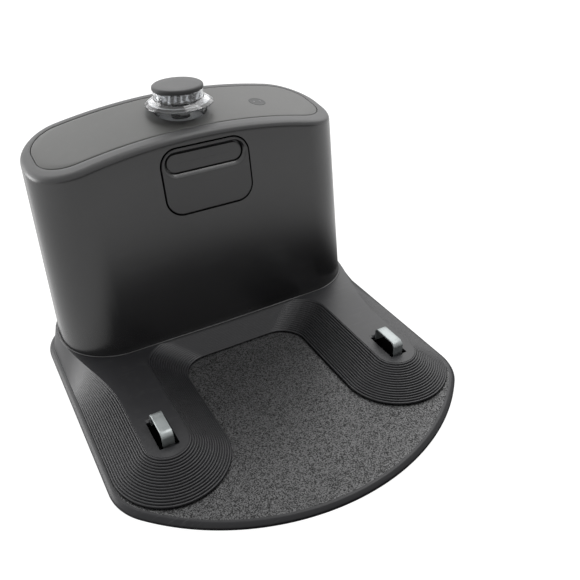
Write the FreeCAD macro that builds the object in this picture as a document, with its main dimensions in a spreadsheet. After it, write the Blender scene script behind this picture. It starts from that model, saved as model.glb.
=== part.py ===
import FreeCAD, Part
import os
import Sketcher
from FreeCAD import Rotation, Vector

doc = FreeCAD.newDocument("charging_dock")
sheet = doc.addObject("Spreadsheet::Sheet", "Sizes")

sizes = {
    # Lengths that carry cuts clear of the solids
    "cut_reach": 300,
    "hole_clear": 4,
    "least_line": 0.02,
    # Base, seen from above with the ramps toward -Y
    "base_half_width": 76,
    "base_front": 81,
    "base_back": 81,
    "base_front_radius": 94.8,
    "base_front_corner": 11,
    "base_rear_corner": 24,
    "base_bevel": 2.4,
    "foot_height": 0.8,
    "deck_height": 3.5,
    # Ramp cover
    "plateau_height": 13.6,
    "lane_x": 51.4,
    "leg_end_y": 31.6,
    "toe_radius": 23.4,
    "plateau_radius": 8.4,
    "rib_count": 17,
    "mat_back_y": 17.9,
    "mat_corner": 12,
    "mat_corner_high": 14,
    "cover_side_inset": 1.2,
    "cover_shoulder": 3.3,
    "cover_rear_inset": 1.5,
    "cover_corner": 3,
    "plateau_corner": 24,
    "cover_rear_corner": 23,
    "plateau_rear_corner": 21,
    "lane_overlap": 8,
    "tower_ledge": 1,
    "well_trim": 2,
    # Tower
    "tower_front_y": 25,
    "tower_back_y": 78,
    "tower_half_width": 70,
    "tower_front_corner": 25,
    "tower_rear_corner": 24,
    "tower_top_half_width": 67,
    "tower_top_front_corner": 18,
    "tower_top_rear_corner": 18,
    "tower_lean": 11.5,
    "tower_loft_height": 96,
    "tower_wall": 2.4,
    "tower_edge_radius": 4,
    "crown_radius": 250,
    "crown_tilt": 8.1,
    "crown_front_y": 42.7,
    "crown_drop": 8.9,
    "roof_thickness": 2.4,
    # Top plate
    "plate_half_width": 62.5,
    "plate_front_y": 41.2,
    "plate_depth": 32.5,
    "plate_corner": 13.2,
    "plate_thickness": 2,
    "plate_gap": 0.3,
    # Front panel
    "panel_half_width": 19,
    "panel_tall": 27.3,
    "panel_corner": 7,
    "panel_up": 55,
    "panel_gap": 0.3,
    "panel_proud": 0.3,
    "panel_flange": 1.6,
    "panel_flange_thick": 1.4,
    "recess_half_width": 17.4,
    "recess_tall": 9,
    "recess_up": 16.4,
    "recess_deep": 1.6,
    # Beacon
    "beacon_y": 58.3,
    "lens_radius": 10.9,
    "lens_bore": 8.6,
    "skirt_radius": 14.4,
    "skirt_rise": 4.6,
    "skirt_tall": 3.3,
    "band_radius": 10.4,
    "cap_rise": 11.3,
    "cap_radius": 11.1,
    "cap_thick": 1.4,
    "lens_gap": 0.3,
    "led_radius": 2.5,
    "led_holder_radius": 4,
    "led_holder_tall": 13,
    "led_tall": 4,
    # Indicator
    "indicator_x": 35,
    "indicator_y": 56,
    "indicator_radius": 3.8,
    # Contacts
    "contact_x": 51.25,
    "contact_y": 27.2,
    "slot_wide": 7.75,
    "slot_long": 15.6,
    "cover_skin": 2,
    "strap_wide": 4.6,
    "strap_long": 14,
    "strap_thick": 0.8,
    "strap_rise": 5.5,
    "strap_leg": 4,
    "strap_bend": 2,
    "strap_foot_round": 0.2,
    "carrier_gap": 0.45,
    "carrier_sink": 0.6,
    "flange_wide": 11,
    "flange_long": 18.4,
    "flange_thick": 2,
    "bay_gap": 1,
    "spring_wide": 5,
    "spring_long": 15,
    "spring_thick": 0.5,
    "spring_bend": 2.8,
    "spring_foot_round": 0.1,
    # Boards inside
    "board_half_width": 46,
    "board_front_y": 31,
    "board_depth": 27,
    "board_low_z": 8,
    "board_thick": 1.6,
    "standoff_radius": 3,
    "standoff_inset": 4,
    "screw_radius": 1.4,
    "screw_head_radius": 2.6,
    "screw_head": 1.8,
    "screw_gap": 0.05,
    "screw_tip": 0.5,
    "screw_seat_gap": 0.3,
    "opening_margin": 4,
    "transformer_x": 16,
    "core_long": 26,
    "core_deep": 20,
    "core_tall": 17,
    "winding_long": 17,
    "winding_deep": 23,
    "winding_tall": 13,
    "cap_big_radius": 6,
    "cap_big_tall": 18,
    "cap_small_radius": 4,
    "cap_small_tall": 12,
    "caps_x": 26,
    "caps_step": 12,
    "upper_board_drop": 12.7,
    "upper_board_left": 22,
    "upper_board_right": 42,
    "upper_board_front_y": 44,
    "upper_board_depth": 29,
    "boss_radius": 3,
    "boss_spread": 16,
    "boss_y": 70,
    "beam_led_wide": 4,
    "beam_led_deep": 3,
    "beam_led_tall": 2.4,
    "beam_led_spread": 7,
    # Mains inlet
    "inlet_half_width": 9,
    "inlet_tall": 12,
    "inlet_deep": 16,
    "inlet_gap": 0.3,
    "socket_radius": 3.5,
    "socket_pitch": 8.6,
    "socket_deep": 11,
    "socket_web_inset": 1,
    "pin_radius": 1.2,
    "pin_long": 8,
    # Underside
    "pad_radius": 7,
    "pad_thick": 1.8,
    "pad_gap": 0.3,
    "pad_x": 60,
    "pad_front_y": 44,
    "pad_rear_y": 62,
    "fix_x": 43,
    "fix_front_y": 44,
    "fix_rear_x": 40,
    "fix_rear_y": 69,
    "fix_shank": 7,
    "fix_head_deep": 1.4,
}

# Levels that follow from the sizes
levels = {
    "crown_front_z": "(plateau_height + tower_loft_height - crown_drop)",
    "upper_board_z": "(crown_front_z - upper_board_drop)",
    "skirt_low_z": "(crown_front_z + skirt_rise)",
    "skirt_high_z": "(skirt_low_z + skirt_tall)",
    "cap_low_z": "(crown_front_z + cap_rise)",
    "led_holder_z": "(upper_board_z + led_holder_tall)",
}

for row, (alias, value) in enumerate(sizes.items(), 1):
    sheet.set("A%d" % row, alias)
    sheet.set("B%d" % row, str(value))
    sheet.setAlias("B%d" % row, alias)
doc.recompute()


def val(alias):
    """Read one size back from the sheet."""
    return float(sheet.get(alias))


def expr(text):
    """Turn words that name sizes or levels into sheet references."""
    functions = ("atan", "cos", "sin", "deg")
    out = []
    word = ""
    for ch in text + " ":
        if ch.isalnum() or ch == "_":
            word += ch
            continue
        if word:
            if word in levels:
                out.append(expr(levels[word]))
            elif word[0].isalpha() and word not in functions:
                out.append("Sizes." + word)
            else:
                out.append(word)
            word = ""
        out.append(ch)
    return "".join(out).strip()


def bind(obj, **props):
    """Drive properties of an object from the sheet."""
    for prop, text in props.items():
        obj.setExpression(prop.replace("__", "."), expr(text))
    return obj


def at(obj, x="0", y="0", z="0"):
    """Drive the position of an object from the sheet."""
    obj.setExpression("Placement.Base.x", expr(x))
    obj.setExpression("Placement.Base.y", expr(y))
    obj.setExpression("Placement.Base.z", expr(z))
    return obj


def block(name, wide, deep, tall, x, y, z):
    """A box centred on x, starting at y and z."""
    obj = doc.addObject("Part::Box", name)
    bind(obj, Length=wide, Width=deep, Height=tall)
    return at(obj, "%s - (%s) / 2" % (x, wide), y, z)


def rod(name, radius, tall, x, y, z):
    """An upright cylinder."""
    obj = doc.addObject("Part::Cylinder", name)
    bind(obj, Radius=radius, Height=tall)
    return at(obj, x, y, z)


def join(name, shapes):
    obj = doc.addObject("Part::MultiFuse", name)
    obj.Shapes = shapes
    obj.Refine = True
    return obj


def group(name, shapes):
    obj = doc.addObject("Part::Compound", name)
    obj.Links = shapes
    return obj


def cut(name, base, tools):
    for index, tool in enumerate(tools):
        last = index == len(tools) - 1
        obj = doc.addObject("Part::Cut", name if last else "%s_cut%d" % (name, index))
        obj.Base = base
        obj.Tool = tool
        base = obj
    return base


def common(name, base, tool):
    obj = doc.addObject("Part::Common", name)
    obj.Base = base
    obj.Tool = tool
    return obj


def dimension(sketch, name, text, *where):
    """Add one named dimension that follows the sheet."""
    index = sketch.addConstraint(Sketcher.Constraint(*where))
    sketch.renameConstraint(index, name)
    sketch.setExpression("Constraints." + name, expr(text))


def number(text):
    """Value of an expression over sheet sizes, for the first drawing of a sketch."""
    probe = doc.addObject("Part::Box", "Probe")
    probe.setExpression("Placement.Base.x", expr(text))
    probe.recompute()
    result = probe.Placement.Base.x
    doc.removeObject("Probe")
    return result


def outline(name, half, depth, front, rear):
    """Rounded rectangle: front side on the sketch X axis, symmetric about the Y axis."""
    w, d, f, r = number(half), number(depth), number(front), number(rear)
    sketch = doc.addObject("Sketcher::SketchObject", name)
    line, arc, circle = Part.LineSegment, Part.ArcOfCircle, Part.Circle
    up = Vector(0, 0, 1)
    quarter = 1.5707963267948966

    def corner(x, y, radius, start):
        return arc(circle(Vector(x, y, 0), up, radius), start * quarter, (start + 1) * quarter)

    sketch.addGeometry(line(Vector(f - w, 0, 0), Vector(w - f, 0, 0)))
    sketch.addGeometry(corner(w - f, f, f, 3))
    sketch.addGeometry(line(Vector(w, f, 0), Vector(w, d - r, 0)))
    sketch.addGeometry(corner(w - r, d - r, r, 0))
    sketch.addGeometry(line(Vector(w - r, d, 0), Vector(r - w, d, 0)))
    sketch.addGeometry(corner(r - w, d - r, r, 1))
    sketch.addGeometry(line(Vector(-w, d - r, 0), Vector(-w, f, 0)))
    sketch.addGeometry(corner(f - w, f, f, 2))
    for index in range(8):
        sketch.addConstraint(Sketcher.Constraint("Tangent", index, 2, (index + 1) % 8, 1))
    sketch.addConstraint(Sketcher.Constraint("Horizontal", 0))
    sketch.addConstraint(Sketcher.Constraint("Horizontal", 4))
    sketch.addConstraint(Sketcher.Constraint("Vertical", 2))
    sketch.addConstraint(Sketcher.Constraint("Vertical", 6))
    sketch.addConstraint(Sketcher.Constraint("PointOnObject", 0, 1, -1))
    sketch.addConstraint(Sketcher.Constraint("Symmetric", 2, 1, 6, 2, -2))
    sketch.addConstraint(Sketcher.Constraint("Equal", 3, 5))
    dimension(sketch, "FrontRadius", front, "Radius", 1, f)
    dimension(sketch, "RearRadius", rear, "Radius", 3, r)
    dimension(sketch, "HalfWidth", half, "DistanceX", -1, 1, 2, 1, w)
    dimension(sketch, "Depth", depth, "DistanceY", -1, 1, 4, 1, d)
    return sketch


def round_outline(name, inset):
    """Base outline with an arched front, drawn with its foremost point on the X axis."""
    w = number("base_half_width - " + inset)
    rad = number("base_front_radius - " + inset)
    f = number("base_front_corner - " + inset)
    r = number("base_rear_corner - " + inset)
    d = number("base_front + base_back - 2 * " + inset)
    sketch = doc.addObject("Sketcher::SketchObject", name)
    line, arc, circle = Part.LineSegment, Part.ArcOfCircle, Part.Circle
    up = Vector(0, 0, 1)
    quarter = 1.5707963267948966
    cy = rad - ((rad - f) ** 2 - (w - f) ** 2) ** 0.5
    swing = Vector(w - f, cy - rad, 0).getAngle(Vector(1, 0, 0))
    sketch.addGeometry(arc(circle(Vector(0, rad, 0), up, rad), 2 * quarter + swing, 4 * quarter - swing))
    sketch.addGeometry(arc(circle(Vector(w - f, cy, 0), up, f), 4 * quarter - swing, 4 * quarter))
    sketch.addGeometry(line(Vector(w, cy, 0), Vector(w, d - r, 0)))
    sketch.addGeometry(arc(circle(Vector(w - r, d - r, 0), up, r), 0, quarter))
    sketch.addGeometry(line(Vector(w - r, d, 0), Vector(r - w, d, 0)))
    sketch.addGeometry(arc(circle(Vector(r - w, d - r, 0), up, r), quarter, 2 * quarter))
    sketch.addGeometry(line(Vector(-w, d - r, 0), Vector(-w, cy, 0)))
    sketch.addGeometry(arc(circle(Vector(f - w, cy, 0), up, f), 2 * quarter, 2 * quarter + swing))
    for index in range(8):
        sketch.addConstraint(Sketcher.Constraint("Tangent", index, 2, (index + 1) % 8, 1))
    sketch.addConstraint(Sketcher.Constraint("Horizontal", 4))
    sketch.addConstraint(Sketcher.Constraint("Vertical", 2))
    sketch.addConstraint(Sketcher.Constraint("Vertical", 6))
    sketch.addConstraint(Sketcher.Constraint("PointOnObject", 0, 3, -2))
    sketch.addConstraint(Sketcher.Constraint("Symmetric", 2, 1, 6, 2, -2))
    sketch.addConstraint(Sketcher.Constraint("Equal", 3, 5))
    dimension(sketch, "FrontRadius", "base_front_radius - " + inset, "Radius", 0, rad)
    dimension(sketch, "FrontCentre", "base_front_radius - " + inset, "DistanceY", -1, 1, 0, 3, rad)
    dimension(sketch, "CornerRadius", "base_front_corner - " + inset, "Radius", 1, f)
    dimension(sketch, "RearRadius", "base_rear_corner - " + inset, "Radius", 3, r)
    dimension(sketch, "HalfWidth", "base_half_width - " + inset, "DistanceX", -1, 1, 2, 1, w)
    dimension(sketch, "Depth", "base_front + base_back - 2 * " + inset, "DistanceY", -1, 1, 4, 1, d)
    return at(sketch, "0", inset + " - base_front", "foot_height")


def raised(name, sketch, tall, down="0"):
    """Solid raised from an outline along its own normal."""
    obj = doc.addObject("Part::Extrusion", name)
    obj.Base = sketch
    obj.DirMode = "Normal"
    obj.Solid = True
    bind(obj, LengthFwd=tall, LengthRev=down)
    return obj


def loft(name, low, high):
    obj = doc.addObject("Part::Loft", name)
    obj.Sections = [low, high]
    obj.Solid = True
    obj.Ruled = True
    return obj


def crown(name, depth):
    """Long tilted cylinder whose upper side is the arched top, lowered by a depth."""
    obj = doc.addObject("Part::Cylinder", name)
    bind(obj, Radius="crown_radius - (%s)" % depth, Height="2 * cut_reach")
    obj.Placement.Rotation = Rotation(Vector(1, 0, 0), -90)
    obj.setExpression("Placement.Rotation.Axis.x", "1")
    obj.setExpression("Placement.Rotation.Angle", expr("crown_tilt - 90"))
    back = "cut_reach * cos(crown_tilt * 1 deg)"
    sink = "cut_reach * sin(crown_tilt * 1 deg)"
    out_y = "crown_radius * sin(crown_tilt * 1 deg)"
    out_z = "crown_radius * cos(crown_tilt * 1 deg)"
    obj.setExpression("Placement.Base.y", expr("crown_front_y - %s + %s" % (back, out_y)))
    obj.setExpression("Placement.Base.z", expr("crown_front_z - %s - %s" % (sink, out_z)))
    return obj


# Outlines of the tower, outside and inside
def tower_outline(name, inset, high):
    if high:
        half = "tower_top_half_width - " + inset
        start = "tower_front_y + tower_lean + " + inset
        depth = "tower_back_y - tower_front_y - tower_lean - 2 * " + inset
        z = "plateau_height + tower_loft_height"
        corners = ("tower_top_front_corner - " + inset, "tower_top_rear_corner - " + inset)
    else:
        half = "tower_half_width - " + inset
        start = "tower_front_y + " + inset
        depth = "tower_back_y - tower_front_y - 2 * " + inset
        z = "plateau_height"
        corners = ("tower_front_corner - " + inset, "tower_rear_corner - " + inset)
    return at(outline(name, half, depth, corners[0], corners[1]), "0", start, z)


# Base plate: bevelled slab, standoffs, seats for feet and screws
slab_low = raised("SlabLow", round_outline("BaseOutline", "0"), "(deck_height - foot_height) / 2")
rim_low = at(round_outline("RimLow", "0"), "0", "0 - base_front",
             "foot_height + (deck_height - foot_height) / 2")
rim_high = at(round_outline("RimHigh", "base_bevel"), "0", "base_bevel - base_front", "deck_height")
slab = join("Slab", [slab_low, loft("SlabBevel", rim_low, rim_high)])
board_x = "board_half_width - standoff_inset"
board_ys = ("board_front_y + standoff_inset", "board_front_y + board_depth - standoff_inset")
posts = []
post_holes = []
board_screws = []
board_holes = []
for side in ("1", "-1"):
    for end, y in enumerate(board_ys):
        x = "%s * (%s)" % (side, board_x)
        tag = "%s%d" % ("R" if side == "1" else "L", end)
        posts.append(rod("Post" + tag, "standoff_radius", "board_low_z - deck_height", x, y, "deck_height"))
        post_holes.append(rod("PostHole" + tag, "screw_radius + screw_gap", "board_low_z", x, y,
                              "deck_height"))
        board_holes.append(rod("BoardHole" + tag, "screw_radius + screw_gap", "cut_reach", x, y,
                               "deck_height"))
        shank = rod("Shank" + tag, "screw_radius", "board_low_z + board_thick - deck_height - screw_tip",
                    x, y,
                    "deck_height + screw_tip")
        head = rod("Head" + tag, "screw_head_radius", "screw_head", x, y, "board_low_z + board_thick")
        board_screws.append(join("BoardScrew" + tag, [shank, head]))

pads = []
pad_seats = []
fix_screws = []
fix_seats = []
fix_bores = []
for side in ("1", "-1"):
    for end, y in enumerate(("-1 * pad_front_y", "pad_rear_y")):
        tag = "%s%d" % ("R" if side == "1" else "L", end)
        x = side + " * pad_x"
        pads.append(rod("Pad" + tag, "pad_radius", "pad_thick", x, y, "0"))
        pad_seats.append(rod("PadSeat" + tag, "pad_radius + pad_gap", "pad_thick", x, y, "0"))
    for end, y in enumerate(("-1 * fix_front_y", "fix_rear_y")):
        tag = "%s%d" % ("R" if side == "1" else "L", end)
        x = side + (" * fix_x" if end == 0 else " * fix_rear_x")
        low = "foot_height"
        head = rod("FixHead" + tag, "screw_head_radius", "fix_head_deep", x, y, low)
        shank = rod("FixShank" + tag, "screw_radius", "fix_shank", x, y, low)
        fix_screws.append(join("BaseScrew" + tag, [head, shank]))
        head_seat = rod("FixSeat" + tag, "screw_head_radius + screw_seat_gap", "fix_head_deep", x, y, low)
        bore = rod("FixBore" + tag, "screw_radius + screw_gap", "fix_shank", x, y, low)
        fix_seats += [head_seat, bore]
        fix_bores.append(rod("FixDrill" + tag, "screw_radius + screw_gap", "fix_shank", x, y, low))
base = cut("BasePlate", join("BaseBody", [slab] + posts),
           [group("BaseHoles", post_holes + pad_seats), group("BaseScrewSeats", fix_seats)])
base.Label = "base_plate"

# Ramp cover: stacked terraces on each leg, a shouldered deck round the tower
count = int(val("rib_count"))
layers = []
rise = "(plateau_height - deck_height) / rib_count"
for side in ("1", "-1"):
    for step in range(count):
        tag = "%s%d" % ("R" if side == "1" else "L", step)
        radius = "toe_radius - %d * (toe_radius - plateau_radius) / (rib_count - 1)" % step
        low = "deck_height + %d * %s" % (step, rise)
        layers.append(rod("Terrace" + tag, radius, rise, side + " * lane_x", "-1 * leg_end_y", low))
        layers.append(block("Lane" + tag, "2 * (%s)" % radius, "leg_end_y + tower_front_y + lane_overlap",
                            rise,
                            side + " * lane_x", "-1 * leg_end_y", low))
deck_low = outline("DeckLow", "base_half_width - cover_side_inset",
                   "base_back - cover_rear_inset - mat_back_y", "cover_corner", "cover_rear_corner")
at(deck_low, "0", "mat_back_y", "deck_height")
deck_high = outline("DeckHigh", "base_half_width - cover_side_inset - cover_shoulder",
                    "base_back - cover_rear_inset - tower_front_y + tower_ledge - cover_shoulder / 2",
                    "plateau_corner",
                    "plateau_rear_corner")
at(deck_high, "0", "tower_front_y - tower_ledge", "plateau_height")
deck = loft("Deck", deck_low, deck_high)
fill_deep = "tower_front_y - mat_back_y + mat_corner_high"
pocket_front = "tower_front_y - (%s) - 2 * mat_corner_high" % fill_deep
pocket_low = outline("PocketLow", "lane_x - toe_radius", "mat_back_y - (%s)" % pocket_front,
                     "mat_corner", "mat_corner")
at(pocket_low, "0", pocket_front, "deck_height")
pocket_high = outline("PocketHigh", "lane_x - plateau_radius",
                      "tower_front_y - tower_ledge - (%s)" % pocket_front, "mat_corner_high",
                      "mat_corner_high")
at(pocket_high, "0", pocket_front, "plateau_height")
fill_block = block("FillBlock", "2 * lane_x", fill_deep, "plateau_height - deck_height", "0",
                   "tower_front_y - (%s)" % fill_deep, "deck_height")
fill = cut("InnerFill", fill_block, [loft("Pocket", pocket_low, pocket_high)])
well_front = "board_front_y - opening_margin"
well = block("Well", "2 * (board_half_width + opening_margin)",
             "board_depth + 2 * opening_margin - well_trim", "cut_reach",
             "0", well_front, "0")
slots = []
bays = []
for side in ("1", "-1"):
    tag = "R" if side == "1" else "L"
    x = side + " * contact_x"
    slots.append(block("Slot" + tag, "slot_wide", "slot_long", "cut_reach", x,
                       "0 - contact_y - slot_long / 2", "0"))
    bays.append(block("Bay" + tag, "flange_wide + 2 * bay_gap", "flange_long + 2 * bay_gap",
                      "plateau_height - cover_skin", x, "0 - contact_y - flange_long / 2 - bay_gap", "0"))
cover = cut("RampCover", join("CoverBody", layers + [deck, fill]),
            [well, group("Slots", slots), group("Bays", bays), group("CoverBores", fix_bores)])
cover.Label = "ramp_cover"

# Tower shell: leaning loft under the arched crown, hollow below
halfway = "plateau_height + tower_loft_height / 2"
crown_top = crown("CrownTop", "0")
crown_floor = crown("CrownFloor", "plate_thickness + plate_gap")
crown_under = crown("CrownUnder", "plate_thickness + plate_gap + roof_thickness")
crown_plate = crown("CrownPlate", "plate_thickness")
outside = common("TowerOutside", loft("TowerLoft", tower_outline("TowerFoot", "0", False),
                                      tower_outline("TowerHead", "0", True)), crown_top)
inside = common("TowerInside", loft("InsideLoft", tower_outline("InsideFoot", "tower_wall", False),
                                    tower_outline("InsideHead", "tower_wall", True)), crown_under)
doc.recompute()
rounded = doc.addObject("Part::Fillet", "TowerRounded")
rounded.Base = outside
top_edges = []
for index, edge in enumerate(outside.Shape.Edges, 1):
    if min(v.Z for v in edge.Vertexes) > number(halfway):
        top_edges.append((index, val("tower_edge_radius"), val("tower_edge_radius")))
rounded.Edges = top_edges
outside.Visibility = False

plate_front = "plate_front_y"
recess_line = at(outline("RecessLine", "plate_half_width + plate_gap", "plate_depth",
                         "plate_corner - plate_gap",
                         "plate_corner - plate_gap"), "0", plate_front, halfway)
recess = cut("PlateRecess", raised("RecessBlock", recess_line, "cut_reach"), [crown_floor])


def on_wall(obj, up, out="0"):
    """Stand an outline in the plane of the leaning front wall, at a distance up the wall."""
    angle = "atan(Sizes.tower_lean / Sizes.tower_loft_height)"
    obj.Placement.Rotation = Rotation(Vector(1, 0, 0), 80)
    obj.setExpression("Placement.Rotation.Axis.x", "1")
    obj.setExpression("Placement.Rotation.Angle", "90 deg - " + angle)
    obj.setExpression("Placement.Base.y", "Sizes.tower_front_y + (%s) * sin(%s) - (%s) * cos(%s)"
                      % (expr(up), angle, expr(out), angle))
    obj.setExpression("Placement.Base.z", "Sizes.plateau_height + (%s) * cos(%s) + (%s) * sin(%s)"
                      % (expr(up), angle, expr(out), angle))
    return obj


panel_hole = raised("PanelHole", on_wall(outline("PanelHoleLine", "panel_half_width + panel_gap",
                                                 "panel_tall + 2 * panel_gap", "panel_corner",
                                                 "panel_corner"),
                                         "panel_up - panel_gap"), "hole_clear", "tower_wall + hole_clear")
inlet_hole = block("InletHole", "2 * (inlet_half_width + inlet_gap)", "inlet_deep + hole_clear",
                   "inlet_tall + inlet_gap", "0", "tower_back_y - inlet_deep", "plateau_height")
lens_hole = rod("LensHole", "lens_radius + lens_gap", "cut_reach", "0", "beacon_y", "upper_board_z")
light_hole = rod("LightHole", "indicator_radius + lens_gap", "cut_reach", "indicator_x", "indicator_y",
                 "upper_board_z")
bosses = []
boss_depth = "plate_thickness + plate_gap + roof_thickness / 2"
for side in ("1", "-1"):
    tag = "R" if side == "1" else "L"
    post = rod("Boss" + tag, "boss_radius", "cut_reach", side + " * boss_spread", "boss_y", "upper_board_z")
    bosses.append(common("BossTrim" + tag, post, crown("BossCrown" + tag, boss_depth)))
hollow = cut("TowerHollow", rounded, [inside, recess])
tower = cut("TowerShell", join("TowerBody", [hollow] + bosses),
            [panel_hole, inlet_hole, lens_hole, light_hole])
tower.Label = "tower_shell"

# Top plate set into the tower
plate_line = at(outline("PlateLine", "plate_half_width", "plate_depth", "plate_corner", "plate_corner"),
                "0", plate_front, halfway)
plate_block = common("PlateBlock", raised("PlateRaised", plate_line, "cut_reach"), crown("PlateCrown", "0"))
plate = cut("TopPlate", plate_block,
            [crown_plate, rod("PlateLensHole", "lens_radius + lens_gap", "cut_reach", "0", "beacon_y",
                              halfway),
             rod("PlateLightHole", "indicator_radius + lens_gap", "cut_reach", "indicator_x",
                 "indicator_y", halfway)])
plate.Label = "top_plate"

# Front panel held by a flange behind the wall
wall_normal = "tower_wall * tower_loft_height / (tower_lean ^ 2 + tower_loft_height ^ 2) ^ 0.5"
plug = raised("PanelPlug", on_wall(outline("PanelLine", "panel_half_width", "panel_tall", "panel_corner",
                                           "panel_corner"), "panel_up"), "panel_proud", wall_normal)
flange_line = on_wall(outline("PanelFlangeLine", "panel_half_width + panel_flange",
                              "panel_tall + 2 * panel_flange", "panel_corner + panel_flange",
                              "panel_corner + panel_flange"),
                      "panel_up - panel_flange", "0 - " + wall_normal)
flange = common("PanelFlange", raised("FlangeSlab", flange_line, "0", "panel_flange_thick"), inside)
scoop_round = "recess_tall / 2 - least_line"
scoop_line = on_wall(outline("ScoopLine", "recess_half_width", "recess_tall", scoop_round, scoop_round),
                     "panel_up + recess_up", "panel_proud")
scoop = raised("Scoop", scoop_line, "hole_clear", "recess_deep")
panel = cut("FrontPanel", join("PanelBody", [plug, flange]), [scoop])
panel.Label = "front_panel"

# Beacon: clear turret standing on the upper board, with a cap
tube = rod("LensTube", "lens_radius", "skirt_low_z - upper_board_z", "0", "beacon_y", "upper_board_z")
skirt = doc.addObject("Part::Cone", "LensSkirt")
bind(skirt, Radius1="skirt_radius", Radius2="band_radius", Height="skirt_high_z - skirt_low_z")
at(skirt, "0", "beacon_y", "skirt_low_z")
band = rod("LensBand", "band_radius", "cap_low_z - skirt_low_z", "0", "beacon_y", "skirt_low_z")
lens = cut("BeaconLens", join("LensBody", [tube, skirt, band]),
           [rod("LensBore", "lens_bore", "cut_reach", "0", "beacon_y", "upper_board_z - hole_clear")])
lens.Label = "beacon_lens"
lens_cap = rod("LensCap", "cap_radius", "cap_thick", "0", "beacon_y", "cap_low_z")
lens_cap.Label = "lens_cap"
holder = rod("LedHolder", "led_holder_radius", "led_holder_z - upper_board_z", "0", "beacon_y",
             "upper_board_z")
bulb = rod("LedBulb", "led_radius", "led_tall", "0", "beacon_y", "led_holder_z")
dome = doc.addObject("Part::Sphere", "LedDome")
bind(dome, Radius="led_radius")
at(dome, "0", "beacon_y", "led_holder_z + led_tall")
led = join("BeaconLed", [holder, bulb, dome])
led.Label = "beacon_led"

# Indicator light pipe from the upper board to the top
pipe = rod("LightPipe", "indicator_radius", "cut_reach", "indicator_x", "indicator_y", "upper_board_z")
light = common("IndicatorLight", pipe, crown("LightCrown", "0"))
light.Label = "indicator_light"

# Contacts: strap, carrier and spring on each side
flange_low = "plateau_height - cover_skin - flange_thick"
for side, word in (("1", "right"), ("-1", "left")):
    tag = "R" if side == "1" else "L"
    x = side + " * contact_x"
    solids = []
    for part, inset in (("Outer", "0"), ("Inner", "strap_thick")):
        line = outline("Strap%s%s" % (part, tag), "strap_long / 2 - " + inset,
                       "strap_rise + strap_leg - " + inset, "strap_foot_round", "strap_bend - " + inset)
        line.Placement.Rotation = Rotation(Vector(1, 1, 1), 120)
        at(line, "%s - strap_wide / 2" % x, "0 - contact_y", "plateau_height - strap_leg")
        solids.append(raised("StrapSolid%s%s" % (part, tag), line, "strap_wide"))
    mouth = block("StrapMouth" + tag, "2 * strap_wide", "strap_long - 2 * strap_thick", "2 * strap_thick",
                  x,
                  "0 - contact_y - strap_long / 2 + strap_thick",
                  "plateau_height - strap_leg - strap_thick")
    strap = cut("ContactStrap" + tag, solids[0], [solids[1], mouth])
    strap.Label = "contact_strap_" + word
    core = block("CarrierCore" + tag, "slot_wide - 2 * carrier_gap", "strap_long - 2 * strap_thick",
                 "plateau_height - carrier_sink - (%s)" % flange_low, x,
                 "0 - contact_y - strap_long / 2 + strap_thick", flange_low)
    foot = block("CarrierFoot" + tag, "flange_wide", "flange_long", "flange_thick", x,
                 "0 - contact_y - flange_long / 2", flange_low)
    notches = []
    for end in ("1", "-1"):
        notches.append(block("Notch%s%s" % (tag, "B" if end == "1" else "F"), "strap_wide", "strap_thick",
                             "cut_reach", x,
                             "0 - contact_y - strap_thick / 2 + %s * (strap_long - strap_thick) / 2" % end,
                             "plateau_height - strap_leg"))
    carrier = cut("ContactCarrier" + tag, join("CarrierBody" + tag, [core, foot]), notches)
    carrier.Label = "contact_carrier_" + word
    bows = []
    for part, inset in (("Outer", "0"), ("Inner", "spring_thick")):
        line = outline("Spring%s%s" % (part, tag), "spring_long / 2 - " + inset,
                       flange_low + " - deck_height - " + inset, "spring_foot_round",
                       "spring_bend - " + inset)
        line.Placement.Rotation = Rotation(Vector(1, 1, 1), 120)
        at(line, "%s - spring_wide / 2" % x, "0 - contact_y", "deck_height")
        bows.append(raised("SpringSolid%s%s" % (part, tag), line, "spring_wide"))
    gap = block("SpringMouth" + tag, "2 * spring_wide", "spring_long - 2 * spring_thick",
                "2 * spring_thick", x,
                "0 - contact_y - spring_long / 2 + spring_thick", "deck_height - spring_thick")
    spring = cut("ContactSpring" + tag, bows[0], [bows[1], gap])
    spring.Label = "contact_spring_" + word

# Power board with its parts
sheet_board = block("BoardSheet", "2 * board_half_width", "board_depth", "board_thick", "0",
                    "board_front_y",
                    "board_low_z")
board = cut("PowerBoard", sheet_board, [group("BoardHoles", board_holes)])
board.Label = "power_board"
board_top = "board_low_z + board_thick"
middle = "board_front_y + board_depth / 2"
core_block = block("Core", "core_long", "core_deep", "core_tall", "transformer_x",
                   middle + " - core_deep / 2",
                   board_top)
winding = block("Winding", "winding_long", "winding_deep", "winding_tall", "transformer_x",
                middle + " - winding_deep / 2", board_top)
transformer = join("Transformer", [core_block, winding])
transformer.Label = "transformer"
capacitors = group("Capacitors", [
    rod("CapBig", "cap_big_radius", "cap_big_tall", "-1 * caps_x", middle, board_top),
    rod("CapSmall", "cap_small_radius", "cap_small_tall", "caps_step - caps_x", middle, board_top)])
capacitors.Label = "capacitors"
screws_in = group("BoardScrews", board_screws)
screws_in.Label = "board_screws"

# Upper board with the beam emitters behind the panel
upper = block("BeaconBoard", "upper_board_left + upper_board_right", "upper_board_depth", "board_thick",
              "(upper_board_right - upper_board_left) / 2", "upper_board_front_y",
              "upper_board_z - board_thick")
upper.Label = "beacon_board"
beams = []
for side in ("1", "-1"):
    beams.append(block("Beam" + ("R" if side == "1" else "L"), "beam_led_wide", "beam_led_deep",
                       "beam_led_tall",
                       side + " * beam_led_spread", "upper_board_front_y", "upper_board_z"))
beam_leds = group("BeamLeds", beams)
beam_leds.Label = "beam_leds"

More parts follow.
